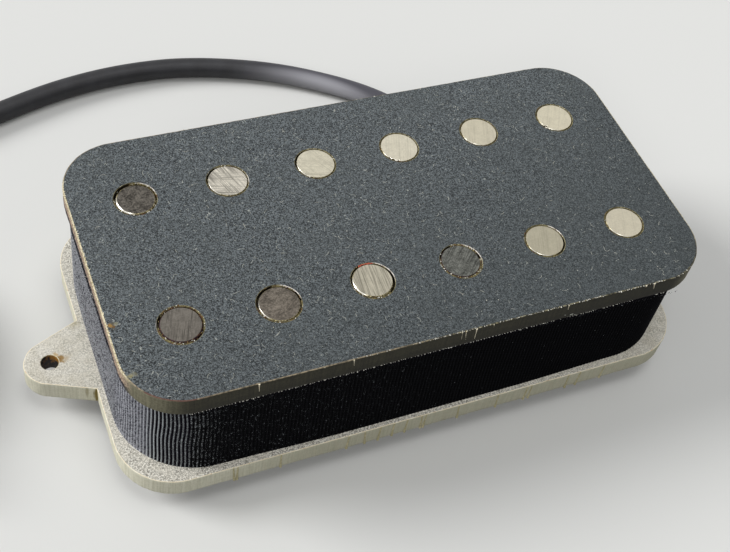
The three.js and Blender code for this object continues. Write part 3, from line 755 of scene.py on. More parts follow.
def tube_piece(name, lines, radius, material, slot, *nodes, fineness=5, shares=None):
    """Round wire or jacket along lines, with each point's share of the radius where they differ."""
    curve = bpy.data.curves.new(name, "CURVE")
    curve.dimensions = "3D"
    curve.bevel_depth = radius
    curve.bevel_resolution = fineness
    curve.use_fill_caps = True
    for number, line in enumerate(lines):
        spline = curve.splines.new("POLY")
        spline.points.add(len(line) - 1)
        for i, place in enumerate(line):
            spline.points[i].co = (*place, 1)
            if shares:
                spline.points[i].radius = shares[number][i]
    curve.materials.append(material)
    return settle(bpy.data.objects.new(name, curve), slot, *nodes)


def twisted(path, strands, lay_radius, pitch):
    """Lines of strands twisted round a path that doesn't stand upright."""
    lines = [[] for _ in range(strands)]
    run = 0.0
    for i, point in enumerate(path):
        along = (path[min(i + 1, len(path) - 1)] - path[max(i - 1, 0)]).normalized()
        across = UP.cross(along).normalized()
        over = along.cross(across)
        if i:
            run += (point - path[i - 1]).length
        for k, line in enumerate(lines):
            angle = FULL_TURN * (run / pitch + k / strands)
            line.append(point + lay_radius * (math.cos(angle) * across + math.sin(angle) * over))
    return lines


# Lead: cords come first

def turn_point(angle):
    """Centre line of the stored turns: in by one pitch a turn, then out again one layer up."""
    past = angle - math.pi * TURNS
    radius = TURN_INNER_RADIUS + TURN_PITCH * abs(past) / FULL_TURN
    climb = ease(past, -math.pi / 2, math.pi / 2)
    level = TIE_THICKNESS + TIE_CLEARANCE + LEAD_LEVEL + TURN_PITCH * climb
    return TURN_CENTRE + radius * way_at(TURN_START + angle) + level * UP


turn_line = [turn_point(FULL_TURN * TURNS * i / TURN_STEPS) for i in range(TURN_STEPS + 1)]
nudge = 0.01
heading = (turn_point(nudge) - turn_point(0)).normalized()
leaving = (turn_line[-1] - turn_point(FULL_TURN * TURNS - nudge)).normalized()
turn_in = turn_line[0] - heading * JACKET_DIAMETER
turn_out = turn_line[-1] + leaving * JACKET_DIAMETER

rod_boxes = {name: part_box(f"rod_{name}") for name in ROD_NAMES}
rod_places = {name: (low + high) / 2 for name, (low, high) in rod_boxes.items()}
rod_radius = (rod_boxes["front_1"][1].x - rod_boxes["front_1"][0].x) / 2
base_low, base_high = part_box("base_plate")
top_low, top_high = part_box("top_plate")

lead_x = (rod_places["back_5"].x + rod_places["back_6"].x) / 2
lead_exit = Vector((lead_x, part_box("lead_under_base")[1].y + JOINT_GAP / 2, LEAD_LEVEL))
tail_drop = turn_out.z - LEAD_LEVEL
tail_points = [
    Vector((x * MM, y * MM, LEAD_LEVEL + tail_drop * share))
    for (x, y), share in zip(TAIL_ROUTE, TAIL_DROP_SHARES)
]
lead_path = smooth_path([
    lead_exit,
    *(Vector((x * MM, y * MM, LEAD_LEVEL)) for x, y in LEAD_ROUTE),
    turn_in - heading * (ENTRY_RUN + JOINT_GAP),
    turn_in,
    *turn_line,
    turn_out,
    *tail_points,
], LEAD_STEPS)
lead_length = sum((b - a).length for a, b in zip(lead_path, lead_path[1:]))
lead = tube_piece(
    "lead", [lead_path], JACKET_DIAMETER / 2, JACKET, "lead_jacket", "lead_free", "lead_turns", "lead_tail",
    fineness=JACKET_FINENESS,
)

tail_end = tail_points[-1]
tail_way = (tail_points[-1] - tail_points[-2]).normalized()
tail_side = UP.cross(tail_way)


def bare_line(across, lift, share, radius):
    """Line of a bared wire from the jacket's end to its place in the spread."""
    rest = radius + SURFACE_GAP
    start = LEAD_LEVEL + lift
    spread = BARE_HALF_SPREAD * share
    points = []
    for run, side, level in (
        (-JOINT_GAP, across, start), (2 * CONDUCTOR_DIAMETER, across, start),
        (BARE_LENGTH / 3, (across + spread) / 2, (start + rest) / 2), (2 * BARE_LENGTH / 3, spread, rest),
        (BARE_LENGTH, spread, rest),
    ):
        place = tail_end + tail_way * run + tail_side * side
        points.append(Vector((place.x, place.y, level)))
    return smooth_path(points, BARE_STEPS)


# Each conductor: its seat in the jacket's end as shares of the pitch, and its share of the spread
CONDUCTORS = {
    "red": (0.5, 0.5, 1), "white": (0.5, -0.5, 0.5), "green": (-0.5, 0.5, -1), "black": (-0.5, -0.5, -0.5),
}
for colour, (across, lift, share) in CONDUCTORS.items():
    radius, strand = CONDUCTOR_DIAMETER / 2, TIP_DIAMETER / 6
    line = bare_line(across * CONDUCTOR_PITCH, lift * CONDUCTOR_PITCH, share, radius)
    end = line[-1]
    tip_line = smooth_path([end - tail_way * JOINT_GAP, end + tail_way * (JOINT_GAP + TIP_LENGTH)], TIP_STEPS)
    tip_lines = [tip_line] + twisted(tip_line, 6, 2 * strand, TIP_LAY)
    node = f"bare_wire_{colour}"
    tube_piece(f"{node}_cover", [line], radius, WIRE_LOOKS[colour], f"wire_{colour}", node)
    node = f"bare_tip_{colour}"
    tube_piece(f"{node}_strands", tip_lines, strand, TINNED, "tinned_copper", node, fineness=1)
shield_line = bare_line(0, SHIELD_SEAT, 0, SHIELD_DIAMETER / 2)
shield_lines = twisted(shield_line, 6, SHIELD_DIAMETER / 3, SHIELD_LAY)
tube_piece(
    "bare_shield_strands", shield_lines, SHIELD_DIAMETER / 6, TINNED, "tinned_copper", "bare_shield",
    fineness=1,
)


def tie_band():
    """Flat plastic tie round all the turns."""
    clear = JACKET_DIAMETER / 2 + TIE_CLEARANCE
    inner = TURN_INNER_RADIUS - clear
    outer = TURN_INNER_RADIUS + TURN_PITCH * TURNS / 2 + clear
    low = TIE_THICKNESS + TIE_CLEARANCE + LEAD_LEVEL - clear
    high = low + TURN_PITCH + 2 * clear
    bm = bmesh.new()
    corners = [bm.verts.new((x, 0, z)) for x, z in ((inner, low), (outer, low), (outer, high), (inner, high))]
    bm.faces.new(corners)
    bevel(bm, corners, JACKET_DIAMETER / 2, 8, "VERTICES")
    bmesh.ops.delete(bm, geom=bm.faces[:], context="FACES_ONLY")
    bmesh.ops.translate(bm, verts=bm.verts[:], vec=(0, -TIE_WIDTH / 2, 0))
    draw_out(bm, bmesh.ops.extrude_edge_only(bm, edges=bm.edges[:]), (0, TIE_WIDTH, 0))
    bmesh.ops.recalc_face_normals(bm, faces=bm.faces[:])
    bmesh.ops.solidify(bm, geom=bm.faces[:], thickness=-TIE_THICKNESS)
    place = Matrix.Translation(TURN_CENTRE) @ Matrix.Rotation(TIE_ANGLE, 4, "Z")
    bmesh.ops.transform(bm, verts=bm.verts[:], matrix=place)
    return mesh_piece(bm, "lead_tie_band", [TIE], "tie_white", "lead_tie")


tie_band()


# Plates

# How each rod sits in the top plate, in millimetres: its radius with the wear off, how far its top
# leans along x and y, and its hole's shift along x and y and radius
ROD_SEATS = {
    "back_1": (2.28, 0.105, -0.09, 0.05, 0.0, 2.39), "back_2": (2.3, 0.045, 0.02, 0.025, 0.045, 2.4),
    "back_3": (2.29, 0.065, 0.045, 0.035, 0.06, 2.38), "back_4": (2.29, 0.065, 0.055, 0.05, 0.05, 2.37),
    "back_5": (2.28, 0.06, 0.035, 0.05, 0.04, 2.36), "back_6": (2.275, 0.0, 0.0, 0.0, 0.0, 2.36),
    "front_1": (2.29, 0.065, 0.16, 0.015, 0.11, 2.47), "front_2": (2.31, 0.0, -0.115, -0.035, -0.085, 2.46),
    "front_3": (2.32, 0.1, 0.12, 0.11, 0.07, 2.45), "front_4": (2.25, 0.005, -0.035, 0.06, -0.075, 2.42),
    "front_5": (2.26, 0.115, 0.075, 0.125, 0.06, 2.38), "front_6": (2.24, 0.11, 0.06, 0.115, 0.055, 2.35),
}
# Where a hole's rim is pale: torn fibre, with a painted highlight on the stretch that faces the left lamp.
# Middle and half width in degrees
TORN_LIT_RIMS = {
    "back_1": (35, 38), "back_2": (-5, 20), "front_1": (-175, 40), "front_2": (38, 40), "front_3": (30, 48),
    "front_4": (28, 40), "front_5": (30, 30),
}


def rod_seat(name):
    """A rod's radius, the middle of its top, and the middle and radius of its hole in the top plate."""
    radius, lean_x, lean_y, shift_x, shift_y, hole_radius = (size * MM for size in ROD_SEATS[name])
    place = rod_places[name]
    top = Vector((place.x + lean_x, place.y + lean_y, top_high.z))
    hole = Vector((place.x + shift_x, place.y + shift_y, top_high.z))
    return radius, top, hole, hole_radius


top_holes, base_holes = [], []
for name in ROD_NAMES:
    radius, _, hole, hole_radius = rod_seat(name)
    top_holes.append((hole.x, hole.y, hole_radius, HOLE_SIDES))
    base_holes.append((rod_places[name].x, rod_places[name].y, radius + ROD_FIT, HOLE_SIDES))


def near_hole(holes, reach):
    return lambda p: any(math.hypot(p.x - x, p.y - y) < radius + reach for x, y, radius, _ in holes)


def plate_mesh(corners, rounds, holes, low, high, arris):
    """A flat plate: its outline's corners, how far each is rounded, its holes, and the two arrises broken."""
    bm = bmesh.new()
    verts = [bm.verts.new((x, y, low)) for x, y in corners]
    bm.faces.new(verts)
    for reach in sorted(set(rounds) - {0}):
        chosen = [v for v, r in zip(verts, rounds) if r == reach and v.is_valid]
        bevel(bm, chosen, reach, CORNER_SEGMENTS, "VERTICES")
    merge(bm, LEVEL_REACH)
    for edge in list(bm.edges):
        cuts = int(edge.calc_length() / OUTLINE_STEP)
        if cuts:
            bmesh.ops.subdivide_edges(bm, edges=[edge], cuts=cuts)
    for x, y, radius, sides in holes:
        bmesh.ops.create_circle(bm, segments=sides, radius=radius, matrix=Matrix.Translation((x, y, low)))
    bmesh.ops.delete(bm, geom=bm.faces[:], context="FACES_ONLY")
    bmesh.ops.triangle_fill(bm, use_beauty=True, edges=bm.edges[:])
    draw_out(bm, bmesh.ops.extrude_face_region(bm, geom=bm.faces[:]), (0, 0, high - low))
    bmesh.ops.recalc_face_normals(bm, faces=bm.faces[:])
    sharp = [e for e in bm.edges if len(e.link_faces) == 2 and e.calc_face_angle() > 1]
    rims = [e for e in sharp if rise(e) < LEVEL_REACH]
    in_hole = near_hole(holes, RIM_REACH)
    for width, segments, drilled in ((HOLE_ARRIS, 1, True), (arris, 3, False)):
        chosen = [e for e in rims if e.is_valid and in_hole(e.verts[0].co) == drilled]
        bevel(bm, chosen, width, segments, "EDGES")
    walls = [e for e in bm.edges if rise(e) > 4 * arris]
    bmesh.ops.subdivide_edges(bm, edges=walls, cuts=4, use_grid_fill=True)
    return bm


def roughen(bm, holes, size):
    """Moves the edge of a plate in and out a little, as a saw and a file leave it."""
    in_hole = near_hole(holes, SMOOTH_REACH)
    for vert in bm.verts:
        if not in_hole(vert.co):
            push = noise.noise(vert.co / size) + 0.5 * noise.noise(vert.co / size * 2.7)
            vert.co += levelled(vert.normal) * push * EDGE_ROUGHNESS


def tell_faces(bm, holes):
    """Finish 0 on flat faces, 1 on the cut edge, 2 on hole walls, 3 on their rims and 4 on the arrises."""
    is_hole = near_hole(holes, RIM_REACH)
    for face in bm.faces:
        lean = abs(face.normal.z)
        if lean <= 0.97:
            plain, broken = (2, 3) if is_hole(face.calc_center_median()) else (1, 4)
            face.material_index = broken if lean > 0.3 else plain


def make_top_plate():
    hx, hy = top_high.x, top_high.y
    corners = [(-hx, -hy), (hx, -hy), (hx, hy), (-hx, hy)]
    bm = plate_mesh(corners, [TOP_CORNER] * 4, top_holes, top_low.z, top_high.z, TOP_ARRIS)
    tell_faces(bm, top_holes)
    # The pale stretch of each hole's rim: torn fibre with a painted highlight
    torn = bm.verts.layers.float.new("torn_lit_share")
    for name, (x, y, radius, _) in zip(ROD_NAMES, top_holes):
        if name in TORN_LIT_RIMS:
            middle, reach = TORN_LIT_RIMS[name]
            for vert in bm.verts:
                away = Vector((vert.co.x - x, vert.co.y - y, 0))
                if away.length < radius + RIM_REACH:
                    vert[torn] = 1 - ease(apart(direction(away), middle), 0.6 * reach, reach)
    bm.normal_update()
    roughen(bm, top_holes, TOP_LUMP)
    mesh_piece(bm, "top_plate_sheet", SLATE, "fibre_dark", "top_plate")


def make_base_plate():
    end, side, root = BASE_LENGTH / 2, base_high.y, EAR_ROOT_WIDTH / 2
    ear_x = end + EAR_REACH
    tip = ear_x + EAR_TIP_RADIUS
    lean = math.atan2(root, -EAR_REACH) - math.acos(EAR_TIP_RADIUS / math.hypot(root, EAR_REACH))
    tip_y = EAR_TIP_RADIUS * math.tan(lean / 2)
    right = [(end, -side), (end, -root), (tip, -tip_y), (tip, tip_y), (end, root), (end, side)]
    corners = right + [(-x, -y) for x, y in right]
    rounds = [BASE_CORNER, 0, tip_y * 0.999, tip_y * 0.999, 0, BASE_CORNER] * 2
    holes = base_holes + [(x, 0, EAR_HOLE_RADIUS, EAR_HOLE_SIDES) for x in (ear_x, -ear_x)]
    bm = plate_mesh(corners, rounds, holes, base_low.z, base_high.z, BASE_ARRIS)
    tell_faces(bm, holes)
    bm.normal_update()
    roughen(bm, holes, BASE_LUMP)
    mesh_piece(bm, "base_plate_sheet", IVORY, "fibre_pale", "base_plate")


make_top_plate()
make_base_plate()


# Rods

# Each ground end: its tone, its grinding passes, how cloudy it is, and its roughness. The tones differ partly
# as a painted reflection, for how each slightly tilted end catches the light
ROD_LOOKS = {
    "back_1": ("5b5751", [(50, 0.1, 0.3)], 1.1, 0.42),
    "back_2": ("ddd7c9", [(-71, 0.1, 0.95), (-16, 0.14, 1.0)], 0.2, 0.34),
    "back_3": ("d4ceba", [(-60, 0.12, 0.25), (-16, 0.2, 0.3)], 0.15, 0.36),
    "back_4": ("d7d1be", [(68, 0.12, 0.18)], 0.12, 0.38),
    "back_5": ("cfc8b3", [(68, 0.12, 0.14)], 0.1, 0.38),
    "back_6": ("d6cfb9", [(60, 0.12, 0.14)], 0.1, 0.38),
    "front_1": ("746f68", [(68, 0.08, 0.7)], 0.3, 0.4),
    "front_2": ("716a61", [(8, 0.1, 0.5), (40, 0.09, 0.4)], 0.75, 0.4),
    "front_3": ("c2bcaa", [(87, 0.12, 0.75), (84, 0.24, 0.72)], 0.15, 0.34),
    "front_4": ("686964", [(45, 0.1, 0.7)], 0.8, 0.42),
    "front_5": ("b3ad99", [(68, 0.12, 0.16)], 0.1, 0.38),
    "front_6": ("cbc4b0", [(68, 0.12, 0.12)], 0.1, 0.38),
}
# Each broken rim: its width in millimetres, and the middle and half width in degrees of its bright stretch,
# where a reflection is painted in
ROD_RIMS = {
    "back_1": (0.19, -157, 54), "back_2": (0.08, -158, 34), "back_3": (0.08, -160, 40),
    "front_1": (0.14, 0, 0), "front_2": (0.12, -180, 50), "front_3": (0.14, -165, 44),
    "front_4": (0.07, 0, 0),
}
PLAIN_RIM = (0.07, -130, 45)
CRUSTED_RODS = ["front_1", "front_4"]
# Chips in the rim of an end: direction in degrees, half width in degrees and depth in millimetres
ROD_CHIPS = {
    "back_4": [(-144, 5, 0.16), (-131, 5, 0.2), (-113, 5, 0.12)],
    "back_6": [(-147, 7, 0.34)],
}
RIM_DROP = 0.45 * MM
RIM_TIP = 0.03 * MM
# Where the wax round a rod has sunk: middle and half width in degrees
SUNKEN_WAX = {
    "back_1": [(128, 38)], "back_2": [(138, 36)], "back_3": [(142, 32)],
    "front_1": [(150, 20), (-50, 24)], "front_2": [(132, 44), (12, 14)], "front_3": [(142, 34), (-12, 44)],
    "front_4": [(125, 30), (5, 9)], "front_5": [(-35, 34)],
}


def make_rod(name):
    low, high = rod_boxes[name]
    place = rod_places[name]
    radius, top, _, _ = rod_seat(name)
    rim, bright_middle, bright_reach = ROD_RIMS.get(name, PLAIN_RIM)
    rim *= MM
    bm = spun([
        (0, low.z), (radius - rim, low.z), (radius, low.z + RIM_DROP), (radius, (low.z + high.z) / 2),
        (radius, high.z - RIM_DROP), (radius - 0.25 * rim, high.z - 0.5 * RIM_DROP),
        (radius - 0.6 * rim, high.z - 0.2 * RIM_DROP), (radius - rim, high.z - RIM_TIP),
        (radius - rim - RIM_TIP, high.z), (0.6 * radius, high.z), (0, high.z),
    ], place, ROD_SIDES)
    bright = bm.verts.layers.float.new("bright_share")
    for vert in bm.verts:
        away = levelled(vert.co - place)
        angle = direction(away)
        vert[bright] = 1 - ease(apart(angle, bright_middle), 0.5 * bright_reach, bright_reach + 1)
        if vert.co.z > high.z - RIM_DROP and away.length > 0.8 * radius:
            for middle, reach, depth in ROD_CHIPS.get(name, []):
                off = apart(angle, middle)
                if off < reach:
                    vert.co -= away.normalized() * depth * MM * (0.5 + 0.5 * math.cos(math.pi * off / reach))
        vert.co += levelled(top - place) * ((vert.co.z - low.z) / (high.z - low.z))
    bm.normal_update()
    for face in bm.faces:
        lean = abs(face.normal.z)
        face.material_index = 0 if lean > 0.98 else 2 if lean > 0.05 else 1
    looks = [
        ground_metal(f"rod_end_{name}", *ROD_LOOKS[name]), ROD_SKIN,
        CRUSTED_RIM if name in CRUSTED_RODS else ROD_BEVEL_METAL,
    ]
    mesh_piece(bm, f"rod_{name}_turned", looks, "rod_metal", f"rod_{name}", sharp=0.3)


def sunken_share(name, angle):
    """How far the wax round a rod has sunk in a direction."""
    hollows = SUNKEN_WAX.get(name, [])
    return max((1 - ease(apart(angle, middle), 0.7 * reach, reach) for middle, reach in hollows), default=0)


def make_wax(name):
    """Wax and fibre dust that fill the gap between a rod and the top plate."""
    radius, top, hole, hole_radius = rod_seat(name)
    bm = spun([(1, 1), (1.5, 1), (2, 1), (2, 0), (1, 0), (1, 1)], Vector(), WAX_SIDES)
    for vert in bm.verts:
        across = math.hypot(vert.co.x, vert.co.y)
        way = levelled(vert.co) / across
        inner, outer = top + way * (radius - WAX_OVERLAP), hole + way * (hole_radius + WAX_OVERLAP)
        sunk = sunken_share(name, direction(way))
        place = inner.lerp(outer, across - 1)
        lump = 0.04 * noise.noise(place / WAX_LUMP)
        depth = 0.07 + lump + 0.03 * (abs(across - 1.5) < 0.1) + 0.9 * sunk if vert.co.z > 0.5 else 1.6
        vert.co = place - UP * depth * MM
    mesh_piece(bm, f"rod_{name}_wax", [ROD_WAX], "glue")


for rod_name in ROD_NAMES:
    make_rod(rod_name)
    make_wax(rod_name)


# Woven tape

def round_corner_line(length, width, corner):
    """Total length of a rounded rectangle's line, and its place and outward way at a distance along it."""
    runs = [length - 2 * corner, width - 2 * corner]
    quarter = math.pi / 2 * corner
    total = 2 * sum(runs) + 4 * quarter
    x, y = length / 2 - corner, width / 2 - corner
    middles = [Vector(middle) for middle in ((x, -y, 0), (x, y, 0), (-x, y, 0), (-x, -y, 0))]

    def at(distance):
        distance %= total
        for i, middle in enumerate(middles):
            face = (i - 1) * math.pi / 2
            run = runs[i % 2]
            if distance < run:
                way = way_at(face)
                return middle + way * corner + Vector((-way.y, way.x, 0)) * (distance - run), way
            distance -= run
            if distance < quarter:
                way = way_at(face + distance / corner)
                return middle + way * corner, way
            distance -= quarter
        return middles[0] + Vector((0, -corner, 0)), Vector((0, -1, 0))

    return total, at


def make_wrap():
    low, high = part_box("woven_wrap")
    total, at = round_corner_line(high.x - low.x, high.y - low.y, WRAP_CORNER)
    columns = round(total / RIB_PITCH) * len(RIB_PROFILE)
    bm = bmesh.new()
    names = ("rib_crest", "rib_step", "end_share", "flat_share", "dust_glint_share")
    crest, step, sheen_end, flat, glint_dust = (bm.verts.layers.float.new(name) for name in names)
    ring = bmesh.ops.create_circle(bm, segments=columns, radius=1.0)["verts"]
    for i, vert in enumerate(ring):
        vert[step] = (i // len(RIB_PROFILE)) % 2
        vert[crest] = 1 + RIB_PROFILE[i % len(RIB_PROFILE)]
        vert.co = (i, 0, 0)
    draw_out(bm, bmesh.ops.extrude_edge_only(bm, edges=bm.edges[:]), UP)
    uprights = [e for e in bm.edges if rise(e) > 0.5]
    bmesh.ops.subdivide_edges(bm, edges=uprights, cuts=WRAP_ROWS - 1, use_grid_fill=True)
    for vert in bm.verts:
        column, up = vert.co.x, vert.co.z
        run = column / columns * total
        wobble = (0.12 + 0.3 * abs(at(run)[1].x)) * MM * noise.noise(Vector((column / 90, up * 2.2, 3)))
        place, way = at(run + wobble)
        cover = (run - LAP_START_SHARE * total) / LAP_RUN
        lap = LAP_RISE * (1 - cover) ** 0.5 if 0 <= cover <= 1 else 0
        bulge = 0.05 * MM * math.sin(math.pi * up) * noise.noise(Vector((column / 160, up * 1.3, 9)))
        along = (1 - ease(abs(place.x), 10 * MM, 27 * MM)) * abs(way.y)
        across = (1 - ease(abs(place.y + 3 * MM), 7 * MM, 16 * MM)) * max(-way.x, 0)
        skirt = (0.12 * (1 - max(way.x, 0)) + 0.35 * along + 0.2 * across) * MM * (1 - up) ** 1.3
        height = low.z + (high.z - low.z) * up
        pressed = 0.3 + 0.7 * ease(min(height - low.z, high.z - height), 0, RIB_RUNOUT)
        depth = RIB_DEPTH * (vert[crest] - 1) * pressed + lap + bulge + skirt - WRAP_INSET
        # Shares of the painted sheen at the ends, of the flat left end, and of the dust and painted glints
        # that fade from the left corner
        vert[sheen_end] = max(ease(-way.x, 0.26, 0.46), 0.25 * ease(way.x, 0.5, 0.9))
        vert[flat] = ease(-way.x, 0.7, 0.86)
        vert[glint_dust] = math.exp(-max(place.x - low.x - WRAP_CORNER + 2.5 * MM, 0) / (3.5 * MM))
        vert.co = place + way * depth + UP * height
    mesh_piece(bm, "woven_wrap_ribs", [WOVEN], "woven_tape", "woven_wrap", sharp=math.radians(80))


make_wrap()


# Underside: jacket, conductors, eyelets, solder and glue

def rounded_copy(node, name, material, slot, grow):
    """A smooth tube from a solid of few sides, grown by some millimetres."""
    bm = bmesh.new()
    bm.from_mesh(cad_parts[node].data)
    merge(bm)
    bmesh.ops.dissolve_limit(bm, angle_limit=math.radians(1), verts=bm.verts[:], edges=bm.edges[:])
    bm.normal_update()
    for vert in bm.verts:
        vert.co += vert.normal * grow * MM
    piece = mesh_piece(bm, name, [material], slot, node, sharp=math.radians(70))
    finer = piece.modifiers.new("rounding", "SUBSURF")
    finer.levels = finer.render_levels = 2


ENDS = ["front_start", "front_finish", "back_start", "back_finish"]
for colour in CONDUCTORS:
    node = f"conductor_{colour}"
    rounded_copy(node, f"{node}_cover", WIRE_LOOKS[colour], f"wire_{colour}", 0.05)
rounded_copy("shield_pigtail", "shield_pigtail_wire", TINNED, "tinned_copper", 0.03)
for end in ENDS:
    node = f"lead_out_{end}"
    rounded_copy(node, f"{node}_wire", WINDING, "copper_winding", 0.03)


def make_eyelet(end):
    """An eyelet in the base and the drop of solder that hangs from it."""
    low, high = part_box(f"eyelet_{end}")
    middle = (low + high) / 2
    flange = (high.x - low.x) / 2
    bore, barrel, lip, edge = EYELET_BORE, EYELET_BARREL, low.z + EYELET_LIP, EYELET_EDGE
    profile = [
        (bore, low.z + edge), (bore + edge, low.z), (flange - edge, low.z), (flange, low.z + edge),
        (flange, lip), (barrel, lip), (barrel, high.z), (bore, high.z), (bore, low.z + edge),
    ]
    bm = spun(profile, middle, EYELET_SIDES)
    mesh_piece(bm, f"eyelet_{end}_turned", [BRASS], "eyelet_brass", f"eyelet_{end}")
    low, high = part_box(f"solder_{end}")
    radius = (high.x - low.x) / 2
    rim = low.z + SOLDER_DROP
    angles = [math.pi / 2 * i / SOLDER_STEPS for i in range(SOLDER_STEPS)]
    drop = [(radius * math.cos(angle), rim - (rim - low.z) * math.sin(angle)) for angle in angles]
    profile = [(0, high.z), (SOLDER_SHANK, high.z), (SOLDER_SHANK, rim), *drop, (0, low.z)]
    bm = spun(profile, middle, EYELET_SIDES)
    mesh_piece(bm, f"solder_{end}_drop", [SOLDER], "solder", f"solder_{end}")


def make_glue():
    low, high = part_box("glue_bead")
    bm = bmesh.new()
    bmesh.ops.create_icosphere(bm, subdivisions=4, radius=1.0)
    middle, half = (low + high) / 2, (high - low) / 2
    for vert in bm.verts:
        lump = 1 + 0.12 * noise.noise(vert.co * 1.7)
        z = max(min(vert.co.z * 1.5 * lump, 1), -1)
        vert.co = middle + Vector((vert.co.x * half.x * lump, vert.co.y * half.y * lump, z * half.z))
    mesh_piece(bm, "glue_bead_lump", [GLUE], "glue", "glue_bead")


for end in ENDS + ["shield"]:
    make_eyelet(end)
make_glue()


# Lint, crumbs and score marks

dice = random.Random(7)
HAIR_COUNT = 320
HAIR_RADIUS = 0.016 * MM
HAIR_MARGIN = 0.9 * MM
HAIR_STEPS = 6
SPECK_COUNT = 520
SPECK_MARGIN = 0.3 * MM
JOINT_DUST_COUNT = 130
SMEAR_COUNT = 18
# Longer hairs: place, length and way they lie, and their bend in radians
LONG_HAIRS = [
    (-29.7, -12.2, 0.9, -20, 1.2), (-24.1, -16.6, 1.0, 60, 2.0), (-31.4, 7.0, 1.1, 40, 1.6),
    (-33.5, -8.9, 1.5, 80, 5.2), (-33.3, -7.0, 0.5, 10, 2.0), (-33.2, -6.9, 0.4, -40, 2.0),
]
# Flakes on the front edge near the joint: place along it, height and size in millimetres
JOINT_FLAKES = [
    (15.1, 17.93, 0.12), (15.3, 17.97, 0.11), (14.35, 18.12, 0.08), (15.7, 17.72, 0.06), (11.4, 17.62, 0.05),
    (12.8, 17.6, 0.06), (18.1, 17.64, 0.05), (-0.6, 17.62, 0.08), (-0.4, 17.7, 0.06),
]
# How many crumbs lie round a rod, the share that is pale, and how far in they reach in millimetres
RIM_CRUMBS = {
    "front_1": (110, 0.22, 0.1), "front_2": (46, 0.4, 0.0), "front_3": (30, 0.4, 0.0),
    "front_4": (90, 0.6, 0.05), "back_1": (60, 0.7, 0.02), "back_2": (24, 0.6, 0.0),
}
FEW_CRUMBS = (9, 0.5, 0.02)
# Score marks across the cut edges: place along x in millimetres
BASE_SCORES = [
    -23.61, -23.2, -18.17, -10.19, -8.1, -6.3, -4.61, -2.98, -1.07, -0.62, 3.69, 8.79, 12.65, 13.25,
    18.31, 19.86, 23.26,
]
# For the top plate also each mark's shift and length downwards and its half width at the top, in millimetres
TOP_SCORES = [
    (-21.47, 0.1, 1.4, 0.11), (-14.45, 0.1, 0.8, 0.04), (-11.22, 0.15, 1.15, 0.08), (1.2, 0.2, 1.35, 0.07),
    (1.66, 0.28, 1.7, 0.07), (2.93, 0.15, 1.9, 0.12), (5.0, 0.2, 1.0, 0.055), (14.3, 0.15, 1.1, 0.08),
    (24.35, 0.03, 0.35, 0.13), (25.45, 0.3, 1.15, 0.1),
]
# Half widths of a score from top to bottom: in millimetres on the base, and as shares on the top plate
BASE_TAPER = [0.09, 0.1, 0.1, 0.1, 0.11, 0.14, 0.18]
TOP_TAPER_SHARES = [1, 0.7, 0.55, 0.45, 0.35, 0.28, 0.18]
SCORE_INSET = 0.05 * MM


def crumb_piece(name, spots, material, slot):
    """Tiny lumps, each with its place and its size in millimetres."""
    bm = bmesh.new()
    for place, size in spots:
        size *= MM
        turn = Matrix.Rotation(dice.uniform(0, FULL_TURN), 4, "Z")
        shape = Matrix.Diagonal((size * dice.uniform(0.8, 1.6), size * dice.uniform(0.5, 1), size * 0.6, 1))
        bmesh.ops.create_icosphere(
            bm, subdivisions=1, radius=1.0, matrix=Matrix.Translation(place) @ turn @ shape,
        )
    mesh_piece(bm, name, [material], slot)


def curl(start, length, heading_angle, bend):
    """A short bent hair that lies on a flat face."""
    line = [start.copy()]
    for i in range(HAIR_STEPS):
        line.append(line[-1] + way_at(heading_angle + bend * (i / HAIR_STEPS - 0.5)) * (length / HAIR_STEPS))
    return line


def clear_spots(count, margin):
    """Random places on the top plate's face, clear of its edge and of the rods."""
    for _ in range(count):
        clear = False
        while not clear:
            x, y = dice.uniform(-top_high.x, top_high.x), dice.uniform(-top_high.y, top_high.y)
            dx = max(abs(x) - (top_high.x - TOP_CORNER), 0)
            dy = max(abs(y) - (top_high.y - TOP_CORNER), 0)
            clear = math.hypot(dx, dy) < TOP_CORNER - margin and all(
                math.hypot(x - p.x, y - p.y) > rod_radius + margin for p in rod_places.values()
            )
        yield Vector((x, y, top_high.z))


def make_lint():
    """Loose fibre hairs and specks on the top plate."""
    hairs = []
    for spot in clear_spots(HAIR_COUNT, HAIR_MARGIN):
        length, way, bend = dice.uniform(0.25, 0.8), dice.uniform(0, FULL_TURN), dice.uniform(-2.5, 2.5)
        hairs.append(curl(spot + UP * 0.004 * MM, length * MM, way, bend))
    spots = [(spot, dice.uniform(0.025, 0.06)) for spot in clear_spots(SPECK_COUNT, SPECK_MARGIN)]
    for x, y, length, way, bend in LONG_HAIRS:
        start = Vector((x * MM, y * MM, top_high.z + 0.006 * MM))
        hairs.append(curl(start, length * MM, math.radians(way), bend))
    tube_piece("top_plate_hairs", hairs, HAIR_RADIUS, LINT, "fibre_pale", fineness=0)
    crumb_piece("top_plate_specks", spots, LINT, "fibre_pale")


def frayed_top(place, way):
    """How frayed the dark plate's upper corner is: not at the near left corner, and more along the front."""
    if way.x < -0.05:
        return 0.0 if way.y < 0.3 else 0.5
    return 0.35 + 0.85 * ease(place.x, -20 * MM, 4 * MM) if way.y < -0.9 else 0.6


def frayed_under(place, way):
    """How frayed the lower corner of the dark plate is: most along the front."""
    if way.x < -0.2:
        return 0.6 if way.x < -0.95 else 0.35
    return 1.6 - 0.6 * ease(place.x, 8 * MM, 24 * MM) if way.y < -0.9 else 0.7


def edge_walk(length, width, corner, low, high, gap=1):
    """Goes round a plate in random steps, with the run, the place and the outward way at each."""
    total, at = round_corner_line(length, width, corner)
    run = 0.0
    while run < total:
        yield run, *at(run)
        run += dice.uniform(low, high) * gap * MM


